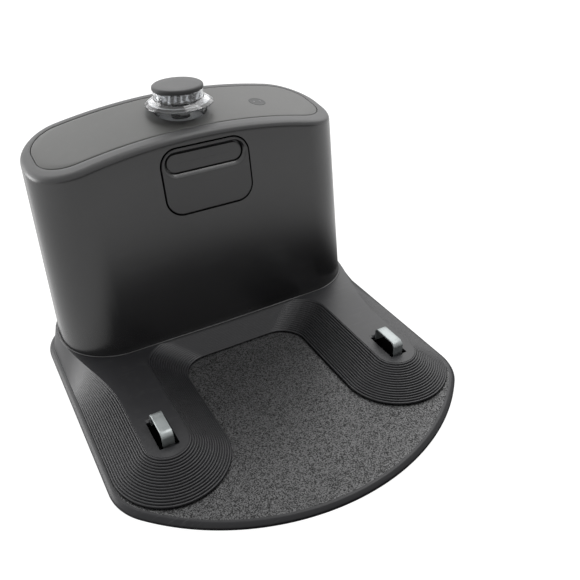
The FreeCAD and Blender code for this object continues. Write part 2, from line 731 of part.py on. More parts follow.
# Mains inlet on the deck behind the tower
inlet_block = block("InletBlock", "2 * inlet_half_width", "inlet_deep", "inlet_tall", "0",
                    "tower_back_y - inlet_deep", "plateau_height")
bores = []
pins = []
mid_z = "plateau_height + inlet_tall / 2"
for side in ("1", "-1"):
    tag = "R" if side == "1" else "L"
    for made, radius, long in ((bores, "socket_radius", "socket_deep"), (pins, "pin_radius", "pin_long")):
        made.append(doc.addObject("Part::Cylinder", ("Bore" if made is bores else "Pin") + tag))
        made[-1].Placement.Rotation = Rotation(Vector(1, 0, 0), -90)
        bind(made[-1], Radius=radius, Height=long)
        at(made[-1], side + " * socket_pitch / 2", "tower_back_y - socket_deep", mid_z)
bores.append(block("BoreWeb", "socket_pitch", "socket_deep", "2 * (socket_radius - socket_web_inset)", "0",
                   "tower_back_y - socket_deep", mid_z + " - socket_radius + socket_web_inset"))
inlet = cut("InletSocket", inlet_block, [join("InletBore", bores)])
inlet.Label = "inlet_socket"
inlet_pins = group("InletPins", pins)
inlet_pins.Label = "inlet_pins"

# Feet and screws under the base
feet = group("RubberFeet", pads)
feet.Label = "rubber_feet"
base_screws = group("BaseScrews", fix_screws)
base_screws.Label = "base_screws"

doc.recompute()
nodes = ["base_plate", "ramp_cover", "tower_shell", "top_plate", "front_panel", "beacon_lens", "lens_cap",
         "beacon_led", "indicator_light", "contact_strap_left", "contact_strap_right",
         "contact_carrier_left",
         "contact_carrier_right", "contact_spring_left", "contact_spring_right", "power_board",
         "transformer",
         "capacitors", "board_screws", "beacon_board", "beam_leds", "inlet_socket", "inlet_pins",
         "rubber_feet",
         "base_screws"]
for obj in doc.Objects:
    if "Invalid" in obj.State or "Error" in obj.State:
        raise RuntimeError("%s did not build: %s" % (obj.Name, obj.getStatusString()))
os.makedirs("parts", exist_ok=True)
for node in nodes:
    obj = doc.getObjectsByLabel(node)[0]
    if obj.Shape.isNull() or not obj.Shape.isValid():
        raise RuntimeError("%s has no valid shape" % node)
    obj.Shape.exportStep("parts/%s.step" % node)
    box = obj.Shape.BoundBox
    print(node, len(obj.Shape.Solids), round(obj.Shape.Volume), [round(v, 1) for v in (
        box.XMin, box.XMax, box.YMin, box.YMax, box.ZMin, box.ZMax)])
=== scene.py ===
import math

import bmesh
import bpy
import numpy as np
from mathutils import Matrix, Vector


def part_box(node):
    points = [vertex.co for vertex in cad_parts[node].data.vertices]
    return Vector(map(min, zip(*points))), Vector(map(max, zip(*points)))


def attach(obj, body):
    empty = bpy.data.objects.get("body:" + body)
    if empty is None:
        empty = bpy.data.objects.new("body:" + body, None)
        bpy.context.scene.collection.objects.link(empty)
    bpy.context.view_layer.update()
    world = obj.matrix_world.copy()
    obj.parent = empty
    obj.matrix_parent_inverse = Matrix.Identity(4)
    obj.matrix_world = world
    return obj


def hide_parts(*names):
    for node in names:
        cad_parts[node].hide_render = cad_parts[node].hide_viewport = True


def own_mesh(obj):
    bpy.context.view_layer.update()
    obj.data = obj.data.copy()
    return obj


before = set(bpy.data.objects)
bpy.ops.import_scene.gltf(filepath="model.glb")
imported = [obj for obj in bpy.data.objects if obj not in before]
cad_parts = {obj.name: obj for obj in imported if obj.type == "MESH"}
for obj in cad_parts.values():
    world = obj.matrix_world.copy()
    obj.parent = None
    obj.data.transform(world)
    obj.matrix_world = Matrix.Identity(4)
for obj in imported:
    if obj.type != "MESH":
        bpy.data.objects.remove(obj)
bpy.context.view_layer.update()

bl_info = {
    "name": "Charging dock looks",
    "version": (1, 0, 0),
    "blender": (4, 5, 0),
    "location": "3D View > Sidebar > Dock",
    "description": "Builds the visible surfaces, finishes and studio of a robot vacuum charging dock",
    "category": "Object",
}

# Sizes and places in millimetres, in the CAD's frame

MM = 0.001
DECK = 3.5
PLATEAU = 13.6
BASE_HALF = 76.0
BASE_REAR = 81.0
BASE_CORNER = 24.0
FRONT_ARC = 94.8
FRONT_ARC_Y = 13.8
MAT_INSET = 2.5
# Round front of a ramp: its middle, and its radius at the plateau and at the toe
NOSE_X, NOSE_Y = 51.4, -31.6
NOSE_TOP, NOSE_TOE = 8.4, 23.4
# Inner bend and rear corner of the cover, at the plateau and at the toe: middle and radius
BEND_X, BEND_Y, BEND_TOP = 29.0, 11.0, 14.0
BEND_TOE_X, BEND_TOE_Y, BEND_TOE = 16.0, 5.9, 12.0
REAR_X, REAR_Y, REAR_TOP = 51.2, 56.5, 20.0
REAR_TOE_X, REAR_TOE = 51.8, 23.0
# The slope begins a little above the deck and ends a little below the plateau
SLOPE_FOOT, SLOPE_HEAD = 0.75, 0.15
CONTACT_X, CONTACT_Y = 51.25, -27.2
STRAP_WIDE, STRAP_HALF, STRAP_LOW, STRAP_TOP, STRAP_BEND = 4.6, 7.0, 9.7, 19.1, 1.9
SPRING_WIDE, SPRING_HALF, SPRING_THICK, SPRING_BEND = 5.0, 7.25, 0.5, 2.55
SLOT_HALF, SLOT_FRONT, SLOT_REAR = 3.875, -35.0, -19.4
TOWER_FRONT = 25.0
TOWER_TALL = 96.0
TOWER_LEAN = 11.5
LEAN = math.atan2(TOWER_LEAN, TOWER_TALL)
TOWER_MIDDLE = 52.0
# Outlines of the tower by half width, front, depth, front corner and rear corner
TOWER_FOOT = (70.0, TOWER_FRONT, 53.0, 25.0, 24.0)
TOWER_HEAD = (67.0, TOWER_FRONT + TOWER_LEAN, 41.5, 18.0, 18.0)
TOWER_SEAM = (62.75, 40.95, 33.0, 13.4, 13.4)
PLATE_HALF, PLATE_FRONT, PLATE_DEEP, PLATE_CORNER = 62.5, 41.2, 32.5, 13.2
# The crown's cylinder, and a point on its ridge
CROWN_RADIUS = 250.0
CROWN_TILT = math.radians(8.1)
CROWN_Y, CROWN_Z = 42.7, 100.7
PLATE_SEAT = 2.4
BEACON_Y = 58.3
INDICATOR_X, INDICATOR_Y = 35.0, 56.0
# The window, measured up the leaning wall, and the gap round it
WINDOW_LOW, WINDOW_TALL, WINDOW_HALF, WINDOW_CORNER = 55.0, 27.3, 19.0, 7.0
WINDOW_GAP = 0.65

# Steps of the meshes

CORNER_STEPS = 22
FRONT_SPLIT = np.concatenate([
    np.linspace(0, 0.282, 8)[:-1], np.linspace(0.282, 0.718, 25), np.linspace(0.718, 1, 8)[1:-1]])
BACK_SPLIT = np.concatenate([np.linspace(0, 0.40, 9), [0.50], np.linspace(0.60, 1, 9)[:-1]])
# Stretches of the cover's lines: back strip, inner bend, inner side, nose, outer side, rear corner, rear
COVER_STEPS = (10, 24, 32, 64, 60, 18, 12)
# The tower's opening for the window: columns, rows, and its shares of the wall's height
WINDOW_LEFT, WINDOW_RIGHT = 7, 31
WINDOW_ROWS = 21
WINDOW_FOOT = 0.5554
WINDOW_REACH = 0.982
# The tower's opening for the inlet
INLET_ROWS = 9
INLET_HALF = 9.4
INLET_WALL_Y = 77.0
WELD = 2e-6


class DockSizes(bpy.types.PropertyGroup):
    """Sizes of the moulded details, in millimetres."""

    ribs: bpy.props.IntProperty(name="Ribs", description="Terraces on each ramp", default=17, min=4, max=30)
    rib_fade: bpy.props.FloatProperty(
        name="Rib strength", description="How tall the terraces are", default=0.9, min=0, max=1,
        subtype="FACTOR")
    rim_round: bpy.props.FloatProperty(
        name="Rim rounding", description="Rounding of the tower's upper rim, mm", default=2.4, min=1, max=4)
    recess_deep: bpy.props.FloatProperty(
        name="Window recess", description="Depth of the long recess in the window, mm", default=1.7,
        min=0, max=3)
    strap_thick: bpy.props.FloatProperty(
        name="Contact thickness", description="Thickness of the contact strip, mm", default=0.8,
        min=0.3, max=1.5)


class DockColours(bpy.types.PropertyGroup):
    """Base colours of the finishes."""

    shell: bpy.props.FloatVectorProperty(
        name="Tower", description="Satin tower moulding", default=(0.007, 0.007, 0.008), subtype="COLOR")
    cover: bpy.props.FloatVectorProperty(
        name="Ramps", description="Matte ramp moulding", default=(0.011, 0.011, 0.013), subtype="COLOR")
    base: bpy.props.FloatVectorProperty(
        name="Base", description="Grained base moulding", default=(0.040, 0.040, 0.041), subtype="COLOR")
    gloss: bpy.props.FloatVectorProperty(
        name="Top plate", description="Polished top plate", default=(0.048, 0.048, 0.045), subtype="COLOR")
    metal: bpy.props.FloatVectorProperty(
        name="Contacts", description="Plated contact strip", default=(0.30, 0.32, 0.32), subtype="COLOR")
    floor: bpy.props.FloatVectorProperty(
        name="Floor", description="Pale studio floor", default=(0.86, 0.86, 0.86), subtype="COLOR")


def sizes():
    """The sizes that the sidebar shows."""
    return bpy.context.scene.dock_sizes


def colours():
    """The colours that the sidebar shows."""
    return bpy.context.scene.dock_colours


# Mesh helpers


def patch(points, closed_u=False, closed_v=False, keep=None, flip=False):
    """Quads over a grid of points; a face looks along the step in u crossed with the step in v."""
    nu, nv = points.shape[:2]
    ids = np.arange(nu * nv).reshape(nu, nv)
    if closed_u:
        ids = np.vstack([ids, ids[:1]])
    if closed_v:
        ids = np.hstack([ids, ids[:, :1]])
    quads = np.stack([ids[:-1, :-1], ids[1:, :-1], ids[1:, 1:], ids[:-1, 1:]], -1)
    quads = quads[keep] if keep is not None else quads.reshape(-1, 4)
    if flip:
        quads = quads[:, ::-1]
    return points.reshape(-1, 3), quads


def loops(rows, **options):
    """A patch over closed loops of points, one row after another."""
    return patch(np.stack(rows, 1), closed_u=True, **options)


def piece(name, patches, material, body, replaces=(), sharp=38):
    """One mesh object from several patches, welded where they meet, riding on a body."""
    start = 0
    verts = []
    faces = []
    for points, quads in patches:
        verts.append(points)
        faces.append(quads + start)
        start += len(points)
    verts = np.concatenate(verts) * MM
    faces = np.concatenate(faces)
    mesh = bpy.data.meshes.new(name)
    mesh.from_pydata(verts.tolist(), [], faces.tolist())
    work = bmesh.new()
    work.from_mesh(mesh)
    bmesh.ops.remove_doubles(work, verts=work.verts, dist=WELD)
    bmesh.ops.dissolve_degenerate(work, edges=work.edges, dist=1e-7)
    work.to_mesh(mesh)
    work.free()
    mesh.polygons.foreach_set("use_smooth", np.ones(len(mesh.polygons), bool))
    mesh.set_sharp_from_angle(angle=math.radians(sharp))
    mesh.materials.append(material)
    obj = bpy.data.objects.new(name, mesh)
    bpy.context.scene.collection.objects.link(obj)
    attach(obj, body)
    if replaces:
        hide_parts(*replaces)
    return obj


def finish_node(name, material):
    """Another finish on a CAD node that stays visible."""
    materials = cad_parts[name].data.materials
    materials.clear()
    materials.append(material)


def smooth(x, low, high):
    """Smooth step from 0 at low to 1 at high."""
    t = np.clip((x - low) / (high - low), 0, 1)
    return t * t * (3 - 2 * t)


def ring_arc(cx, cy, radius, start, end, count):
    """Points on an arc, angles in degrees, without the last one."""
    a = np.radians(np.linspace(start, end, count, endpoint=False))
    return np.stack([cx + radius * np.cos(a), cy + radius * np.sin(a)], -1)


def run(start, end, count, at=None):
    """Points on a straight run, without the last one, evenly spaced or at given shares of it."""
    t = np.linspace(0, 1, count, endpoint=False) if at is None else np.asarray(at)
    return np.asarray(start) + (np.asarray(end) - np.asarray(start)) * t[:, None]


def rounded(half, low, depth, front, rear):
    """Rounded rectangle from its left front, anticlockwise seen from above."""
    high = low + depth
    return np.concatenate([
        run((front - half, low), (half - front, low), 0, FRONT_SPLIT),
        ring_arc(half - front, low + front, front, -90, 0, CORNER_STEPS),
        run((half, low + front), (half, high - rear), 6),
        ring_arc(half - rear, high - rear, rear, 0, 90, CORNER_STEPS),
        run((half - rear, high), (rear - half, high), 0, BACK_SPLIT),
        ring_arc(rear - half, high - rear, rear, 90, 180, CORNER_STEPS),
        run((-half, high - rear), (-half, low + front), 6),
        ring_arc(front - half, low + front, front, 180, 270, CORNER_STEPS),
    ])


def lift(xy, z):
    """Plan points with a height."""
    return np.concatenate([xy, np.broadcast_to(np.asarray(z, float).reshape(-1, 1), (len(xy), 1))], 1)


def crown(xy):
    """Height of the arched, tilted top: the upper side of a cylinder lying front to back."""
    ay = CROWN_Y + CROWN_RADIUS * math.sin(CROWN_TILT)
    az = CROWN_Z - CROWN_RADIUS * math.cos(CROWN_TILT)
    arch_tall = np.sqrt(CROWN_RADIUS ** 2 - xy[:, 0] ** 2)
    return az + (arch_tall + (xy[:, 1] - ay) * math.sin(CROWN_TILT)) / math.cos(CROWN_TILT)


def beacon_hole(line, radius):
    """Points of the beacon's round hole, one in the direction of each point of a line round it."""
    bearing = np.arctan2(line[:, 1] - BEACON_Y, line[:, 0])
    return np.stack([radius * np.cos(bearing), BEACON_Y + radius * np.sin(bearing)], -1)


def turned(profile, cx, cy, count=72):
    """A profile of radius and height carried round an upright axis."""
    profile = np.asarray(profile, float)
    a = np.linspace(0, 2 * np.pi, count, endpoint=False)
    pts = np.empty((count, len(profile), 3))
    pts[..., 0] = cx + np.cos(a)[:, None] * profile[:, 0]
    pts[..., 1] = cy + np.sin(a)[:, None] * profile[:, 0]
    pts[..., 2] = profile[:, 1]
    return patch(pts, closed_u=True)


# Shader helpers

FLOAT = "NodeSocketFloat"
COLOUR = "NodeSocketColor"


def group(name, ins, outs):
    """A new shader group with named inputs and outputs."""
    tree = bpy.data.node_groups.new(name, "ShaderNodeTree")
    for label, kind, value in ins:
        socket = tree.interface.new_socket(name=label, in_out="INPUT", socket_type=kind)
        socket.default_value = value
    for label, kind in outs:
        tree.interface.new_socket(name=label, in_out="OUTPUT", socket_type=kind)
    return tree, tree.nodes.new("NodeGroupInput").outputs, tree.nodes.new("NodeGroupOutput").inputs


def node(tree, kind, links=None, **values):
    """A node with plain attributes and, by socket name, links or values."""
    made = tree.nodes.new(kind)
    for key, value in values.items():
        setattr(made, key, value)
    for key, value in (links or {}).items():
        socket = made.inputs[key]
        if isinstance(value, bpy.types.NodeSocket):
            tree.links.new(value, socket)
        else:
            socket.default_value = value
    return made


def coords(tree):
    """The object's own coordinates."""
    return node(tree, "ShaderNodeTexCoord").outputs["Object"]


def noise(tree, vector, scale, detail, roughness=0.5):
    """Noise of a scale and detail."""
    links = {"Vector": vector, "Scale": scale, "Detail": detail, "Roughness": roughness}
    return node(tree, "ShaderNodeTexNoise", links).outputs[0]


def maths(tree, operation, *values, clamp=False):
    """One sum over links or values."""
    links = dict(enumerate(values))
    return node(tree, "ShaderNodeMath", links, operation=operation, use_clamp=clamp).outputs[0]


def spread(tree, value, low=0.0, high=1.0, to_low=0.0, to_high=1.0, curve="LINEAR"):
    """A value carried over from one range to another and held at its ends."""
    links = {"Value": value, "From Min": low, "From Max": high, "To Min": to_low, "To Max": to_high}
    return node(tree, "ShaderNodeMapRange", links, interpolation_type=curve).outputs[0]


def mixed(tree, share, first, second):
    """Two colours mixed by a share."""
    return node(tree, "ShaderNodeMix", {"Factor": share, 6: first, 7: second}, data_type="RGBA").outputs[2]


def shaded(tree, colour, value):
    """A colour with its brightness multiplied."""
    return node(tree, "ShaderNodeHueSaturation", {"Color": colour, "Value": value}).outputs[0]


def relief(tree, bsdf, height, strength, distance):
    """A bump from a height on the shader's normal."""
    bumped = node(tree, "ShaderNodeBump", {"Height": height, "Strength": strength, "Distance": distance})
    tree.links.new(bumped.outputs[0], bsdf.inputs["Normal"])


def settle(made, values):
    """Plain values on a node's own sockets."""
    for key, value in values.items():
        made.inputs[key].default_value = value


def moulded_group():
    """Moulded plastic: broad noise drifts the tint, stretched noise makes scuffs, fine noise is a height."""
    if "Moulded" in bpy.data.node_groups:
        return bpy.data.node_groups["Moulded"]
    tree, given, result = group("Moulded", [
        ("Colour", COLOUR, (0.02, 0.02, 0.02, 1)), ("Drift", FLOAT, 0.25), ("Scuff", FLOAT, 0.3),
        ("Roughness", FLOAT, 0.45), ("Fine Scale", FLOAT, 2500.0), ("Broad Scale", FLOAT, 30.0)],
        [("Colour", COLOUR), ("Roughness", FLOAT), ("Height", FLOAT)])
    coord = coords(tree)
    stretch = node(tree, "ShaderNodeMapping", {"Vector": coord, "Scale": (60.0, 900.0, 260.0)})
    streak = noise(tree, stretch.outputs[0], 1.0, 3.0)
    scuff = maths(tree, "MULTIPLY", spread(tree, streak, 0.6, 0.78), given["Scuff"])
    shift = maths(tree, "SUBTRACT", noise(tree, coord, given["Broad Scale"], 4.0), 0.5)
    drift = maths(tree, "MULTIPLY", shift, given["Drift"])
    tint = shaded(tree, given["Colour"], maths(tree, "ADD", drift, 1.0))
    tree.links.new(mixed(tree, scuff, tint, (0.09, 0.09, 0.095, 1)), result["Colour"])
    drifted = maths(tree, "MULTIPLY_ADD", drift, 0.35, given["Roughness"])
    tree.links.new(maths(tree, "MULTIPLY_ADD", scuff, 0.18, drifted, clamp=True), result["Roughness"])
    tree.links.new(noise(tree, coord, given["Fine Scale"], 2.0), result["Height"])
    return tree


def dust_group():
    """Pale dust: the patches of a noise, times how far the face looks up."""
    if "Dust" in bpy.data.node_groups:
        return bpy.data.node_groups["Dust"]
    tree, given, result = group("Dust", [("Amount", FLOAT, 0.1), ("Scale", FLOAT, 220.0)],
                                [("Mask", FLOAT), ("Upward", FLOAT)])
    specks = spread(tree, noise(tree, coords(tree), given["Scale"], 6.0), 0.52, 0.8)
    normal = node(tree, "ShaderNodeNewGeometry").outputs["Normal"]
    upward = spread(tree, node(tree, "ShaderNodeSeparateXYZ", {0: normal}).outputs[2], 0.2, 1.0)
    both = maths(tree, "MULTIPLY", specks, upward)
    tree.links.new(maths(tree, "MULTIPLY", both, given["Amount"], clamp=True), result["Mask"])
    tree.links.new(upward, result["Upward"])
    return tree


# Finishes


def finish(name):
    """A new material with its Principled shader."""
    mat = bpy.data.materials.new(name)
    mat.use_nodes = True
    return mat, mat.node_tree, mat.node_tree.nodes["Principled BSDF"]


def plastic(name, colour, roughness, drift=0.25, scuff=0.25, bump=0.08, fine=2500.0, dust=0.06, specular=0.5,
            coat_rough=0.1, grain=None, top_dull=0.0):
    """Moulded plastic with drift, scuffs, dust and a fine bump; grain, a scale and a depth, adds pebbles
    with painted light on their tops and painted shade in their pits.
    """
    mat, tree, bsdf = finish(name)
    base = node(tree, "ShaderNodeGroup", node_tree=moulded_group())
    settle(base, {"Colour": (*colour, 1), "Drift": drift, "Scuff": scuff, "Roughness": roughness,
                  "Fine Scale": fine})
    dusty = node(tree, "ShaderNodeGroup", node_tree=dust_group())
    settle(dusty, {"Amount": dust})
    tint = mixed(tree, dusty.outputs["Mask"], base.outputs["Colour"], (0.35, 0.34, 0.33, 1))
    upward = dusty.outputs["Upward"]
    dulled = maths(tree, "MULTIPLY_ADD", upward, top_dull, base.outputs["Roughness"], clamp=True)
    tree.links.new(dulled, bsdf.inputs["Roughness"])
    height = base.outputs["Height"]
    distance = 0.05 * MM
    if grain:
        scale, distance = grain
        dome = spread(tree, noise(tree, coords(tree), scale, 1.5, 0.6), 0.38, 0.62)
        height = maths(tree, "MULTIPLY_ADD", height, 0.15, dome)
        # Brightness follows the pebbles' height: painted light on the pebble tops and painted shade in the
        # pits.
        tint = shaded(tree, tint, spread(tree, dome, to_low=0.2, to_high=2.1))
        tree.links.new(dome, bsdf.inputs["Coat Weight"])
    tree.links.new(tint, bsdf.inputs["Base Color"])
    relief(tree, bsdf, height, bump, distance)
    settle(bsdf, {"Specular IOR Level": specular, "Coat Roughness": coat_rough})
    return mat


def metal(name, colour, roughness):
    """Plated metal: noise stretched into drawn lines for roughness and bump, another noise for tarnish."""
    mat, tree, bsdf = finish(name)
    coord = coords(tree)
    along = node(tree, "ShaderNodeMapping", {"Vector": coord, "Scale": (40.0, 40.0, 1400.0)})
    lines = noise(tree, along.outputs[0], 3.0, 3.0)
    tarnish = spread(tree, noise(tree, coord, 260.0, 5.0), 0.45, 0.75, to_high=0.5)
    dark = tuple(c * 0.55 for c in colour)
    tree.links.new(mixed(tree, tarnish, (*colour, 1), (*dark, 1)), bsdf.inputs["Base Color"])
    rough = spread(tree, lines, to_low=roughness - 0.08, to_high=roughness + 0.14)
    tree.links.new(rough, bsdf.inputs["Roughness"])
    relief(tree, bsdf, lines, 0.12, 0.03 * MM)
    settle(bsdf, {"Metallic": 1.0})
    return mat


def painted_reflection_facets(name, bright, dark):
    """Mirror facets with painted reflections: the colour turns from bright to dark with the angle round the
    beacon, bent by a noise.
    """
    mat, tree, bsdf = finish(name)
    coord = coords(tree)
    centred = node(tree, "ShaderNodeMapping", {"Vector": coord, "Location": (0.0, -BEACON_Y * MM, 0.0)})
    turn = node(tree, "ShaderNodeTexGradient", {"Vector": centred.outputs[0]}, gradient_type="RADIAL")
    count = maths(tree, "MULTIPLY", turn.outputs[1], 40.0)
    bent = maths(tree, "MULTIPLY_ADD", noise(tree, coord, 420.0, 1.0), 2.4, count)
    mask = spread(tree, maths(tree, "PINGPONG", bent, 1.0), 0.3, 0.6)
    # Bright and dark bands of colour: painted reflections on the facets.
    tree.links.new(mixed(tree, mask, (*bright, 1), (*dark, 1)), bsdf.inputs["Base Color"])
    settle(bsdf, {"Roughness": 0.08, "Metallic": 1.0})
    return mat


def clear(name, tint, roughness):
    """Clear moulded plastic with faint flow marks from a noise."""
    mat, tree, bsdf = finish(name)
    flow = noise(tree, coords(tree), 160.0, 2.0)
    rough = spread(tree, flow, to_low=roughness * 0.5, to_high=roughness * 1.8)
    tree.links.new(rough, bsdf.inputs["Roughness"])
    relief(tree, bsdf, flow, 0.05, 0.3 * MM)
    settle(bsdf, {"Base Color": (*tint, 1), "Transmission Weight": 0.95, "IOR": 1.5})
    return mat


# Base


def base_line(inset):
    """Outline of the base: wide front arc, round front corners, straight sides, round rear corners."""
    radius = BASE_CORNER - inset
    half = BASE_HALF - inset
    cx = BASE_HALF - BASE_CORNER
    rear = BASE_REAR - BASE_CORNER
    drop = math.sqrt((FRONT_ARC - BASE_CORNER) ** 2 - cx ** 2)
    front = FRONT_ARC_Y - drop
    a = math.degrees(math.atan2(drop, cx))
    return np.concatenate([
        ring_arc(0, FRONT_ARC_Y, FRONT_ARC - inset, 180 + a, 360 - a, 96),
        ring_arc(cx, front, radius, 360 - a, 360, 16),
        run((half, front), (half, rear), 30),
        ring_arc(cx, rear, radius, 0, 90, 20),
        run((cx, BASE_REAR - inset), (-cx, BASE_REAR - inset), 20),
        ring_arc(-cx, rear, radius, 90, 180, 20),
        run((-half, rear), (-half, front), 30),
        ring_arc(-cx, front, radius, 180, 180 + a, 16),
    ])


class DOCK_OT_base(bpy.types.Operator):
    """Base: insets of one outline give the rounded edge and bevel; rings inside it carry the grained mat"""

    bl_idname = "dock.base"
    bl_label = "Base plate"

    def execute(self, context):
        rows = [(1.2, 0.8), (0.35, 0.85), (0.0, 1.2), (0.0, 2.1), (0.15, 2.4), (1.3, 3.3), (1.65, 3.46),
                (2.0, DECK), (MAT_INSET, DECK)]
        lines = [lift(base_line(inset), z) for inset, z in rows]
        low = np.array([0.0, 0.0, 0.8])
        under = [low + (lines[0] - low) * share for share in (0.0, 0.4, 0.8)]
        rim = plastic("base_rim_smooth", colours().cover, 0.4, drift=0.3, scuff=0.3, bump=0.1, dust=0.04,
                      specular=0.35)
        piece("base_rim", [loops(under + lines)], rim, "dock", ["base_plate"])
        centre = np.array([0.0, 0.0, DECK + 0.02])
        edge = lift(base_line(MAT_INSET + 0.15), DECK + 0.02)
        rings = [lines[-1], edge]
        rings += [centre + (edge - centre) * share for share in (0.94, 0.85, 0.7, 0.5, 0.3, 0.12, 0.0)]
        mat = plastic("base_grained", colours().base, 0.45, drift=0.3, scuff=0.08, bump=0.5, dust=0.03,
                      specular=0.15, coat_rough=0.34, grain=(2150.0, 0.2 * MM))
        piece("wheel_mat_grain", [loops(rings)], mat, "dock")
        return {"FINISHED"}


# Ramp cover; its plan lines run over the right half, from the middle of the back strip round to the rear


def plateau_edge(y):
    """Outer edge of the plateau: straight beside the ramp, drifting outwards toward the tower."""
    start = NOSE_X + NOSE_TOP
    return start + (REAR_X + REAR_TOP - start) * smooth(y, -5.0, 55.0)


def cover_lines():
    """Toe line, plateau line and rib strength, each a chain of runs and arcs with the same steps."""
    strip, bend, inner, nose, outer, corner, rear = COVER_STEPS
    toe_strip = BEND_TOE_Y + BEND_TOE
    toe_in, toe_out = NOSE_X - NOSE_TOE, NOSE_X + NOSE_TOE
    toe_rear = REAR_Y + REAR_TOE
    toe = np.concatenate([
        run((0, toe_strip), (BEND_TOE_X, toe_strip), strip),
        ring_arc(BEND_TOE_X, BEND_TOE_Y, BEND_TOE, 90, 0, bend),
        run((toe_in, BEND_TOE_Y), (toe_in, NOSE_Y), inner),
        ring_arc(NOSE_X, NOSE_Y, NOSE_TOE, 180, 360, nose), run((toe_out, NOSE_Y), (toe_out, REAR_Y), outer),
        ring_arc(REAR_TOE_X, REAR_Y, REAR_TOE, 0, 90, corner),
        run((REAR_TOE_X, toe_rear), (0, toe_rear), rear),
        np.array([[0, toe_rear]])])
    toe[:, 0] -= 0.05 * np.maximum(toe[:, 0] - NOSE_X, 0)
    y = np.linspace(NOSE_Y, REAR_Y, outer, endpoint=False)
    bend_side = BEND_X + BEND_TOP
    top_rear = REAR_Y + REAR_TOP
    top = np.concatenate([
        run((0, TOWER_FRONT), (BEND_X, TOWER_FRONT), strip), ring_arc(BEND_X, BEND_Y, BEND_TOP, 90, 0, bend),
        run((bend_side, BEND_Y), (bend_side, NOSE_Y), inner),
        ring_arc(NOSE_X, NOSE_Y, NOSE_TOP, 180, 360, nose), np.stack([plateau_edge(y), y], -1),
        ring_arc(REAR_X, REAR_Y, REAR_TOP, 0, 90, corner), run((REAR_X, top_rear), (0, top_rear), rear),
        np.array([[0, top_rear]])])
    bend_end = strip + bend
    nose_end = bend_end + inner + nose
    outer_end = nose_end + outer
    fade = np.zeros(len(toe))
    fade[:bend_end] = 0.12 + 0.88 * smooth(toe[:bend_end, 0], BEND_TOE_X, toe_in)
    fade[bend_end:nose_end] = 1
    fade[nose_end:outer_end] = 1 - smooth(toe[nose_end:outer_end, 1], -4.0, 30.0)
    return toe, top, fade


def mirrored(line):
    """The right half followed by its mirror image, as a closed loop."""
    other = line[::-1][1:-1].copy()
    if line.ndim == 2:
        other[:, 0] *= -1
    return np.concatenate([line, other])


def ramp_slope(ribs, strength):
    """Slope between toe and plateau lines, blended with a stair that has a groove at each step's foot."""
    toe, top, fade = (mirrored(part) for part in cover_lines())
    share = np.array([0.0, 0.10, 0.18, 0.28, 0.36, 0.44, 0.70, 0.84, 0.93])
    rise = np.array([-0.45, -0.45, 0.15, 0.80, 0.97, 1.0, 1.0, 0.97, 0.80])
    v = np.append((np.arange(ribs)[:, None] + share).ravel() / ribs, 1.0)
    stair = np.append((np.arange(ribs)[:, None] + rise).ravel() / ribs, 1.0)
    stair[0] = 0
    height = v + fade[:, None] * strength * (stair - v)
    inward = top - toe
    inward /= np.linalg.norm(inward, axis=1)[:, None]
    edge_in = np.array([1.1, 1.1, 0.08, 0.0])
    edge_up = np.array([-0.3, 0.42, 0.45, 0.6])
    edge = len(edge_in)
    pts = np.empty((len(toe), edge + len(v) + 1, 3))
    pts[:, :edge, :2] = toe[:, None] + inward[:, None] * edge_in[:, None]
    pts[:, :edge, 2] = DECK + edge_up
    pts[:, edge:-1, :2] = (toe + (top - toe) * v[:, None, None]).transpose(1, 0, 2)
    pts[:, edge:-1, 2] = DECK + SLOPE_FOOT + (PLATEAU - DECK - SLOPE_FOOT - SLOPE_HEAD) * height
    pts[:, -1, :2] = top + inward * 0.25
    pts[:, -1, 2] = PLATEAU
    return patch(pts, closed_u=True)


def plateau_patch(side):
    """Flat top of one ramp: rows from its inner to its outer edge, with the rectangular slot left out."""
    nose_angle = math.acos((NOSE_Y - SLOT_FRONT) / NOSE_TOP)
    y = np.concatenate([NOSE_Y - NOSE_TOP * np.cos(np.linspace(0.02, nose_angle, 14))[:-1],
                        np.linspace(SLOT_FRONT, SLOT_REAR, 14), np.linspace(SLOT_REAR, BEND_Y, 16)[1:],
                        BEND_Y + BEND_TOP * np.sin(np.linspace(0, np.pi / 2, 16))[1:]])

    def sides(at):
        """Inner and outer edge: circles at the nose, straight or drifting behind it."""
        cap = np.sqrt(np.clip(NOSE_TOP ** 2 - np.minimum(at - NOSE_Y, 0) ** 2, 0, None))
        return NOSE_X - cap, np.where(at < NOSE_Y, NOSE_X + cap, plateau_edge(at))

    near, far = sides(np.clip(y, SLOT_FRONT, SLOT_REAR))
    low = (CONTACT_X - SLOT_HALF - near) / (far - near)
    high = (CONTACT_X + SLOT_HALF - near) / (far - near)
    share = np.stack([low * k / 3 for k in range(3)] + [low + (high - low) * k / 3 for k in range(3)]
                     + [high + (1 - high) * k / 3 for k in range(4)], 1)
    inner, outer = sides(y)
    bend = np.sqrt(np.clip(BEND_TOP ** 2 - np.maximum(y - BEND_Y, 0) ** 2, 0, None))
    inner = np.where(y > BEND_Y, BEND_X + bend, inner)
    pts = np.empty((*share.shape, 3))
    pts[..., 0] = side * (inner[:, None] + share * (outer - inner)[:, None])
    pts[..., 1] = y[:, None]
    pts[..., 2] = PLATEAU
    mid_y = (y[:-1] + y[1:]) / 2
    keep = np.ones((len(y) - 1, share.shape[1] - 1), bool)
    keep[np.ix_((mid_y > SLOT_FRONT) & (mid_y < SLOT_REAR), [3, 4, 5])] = False
    return patch(pts, keep=keep, flip=side > 0)


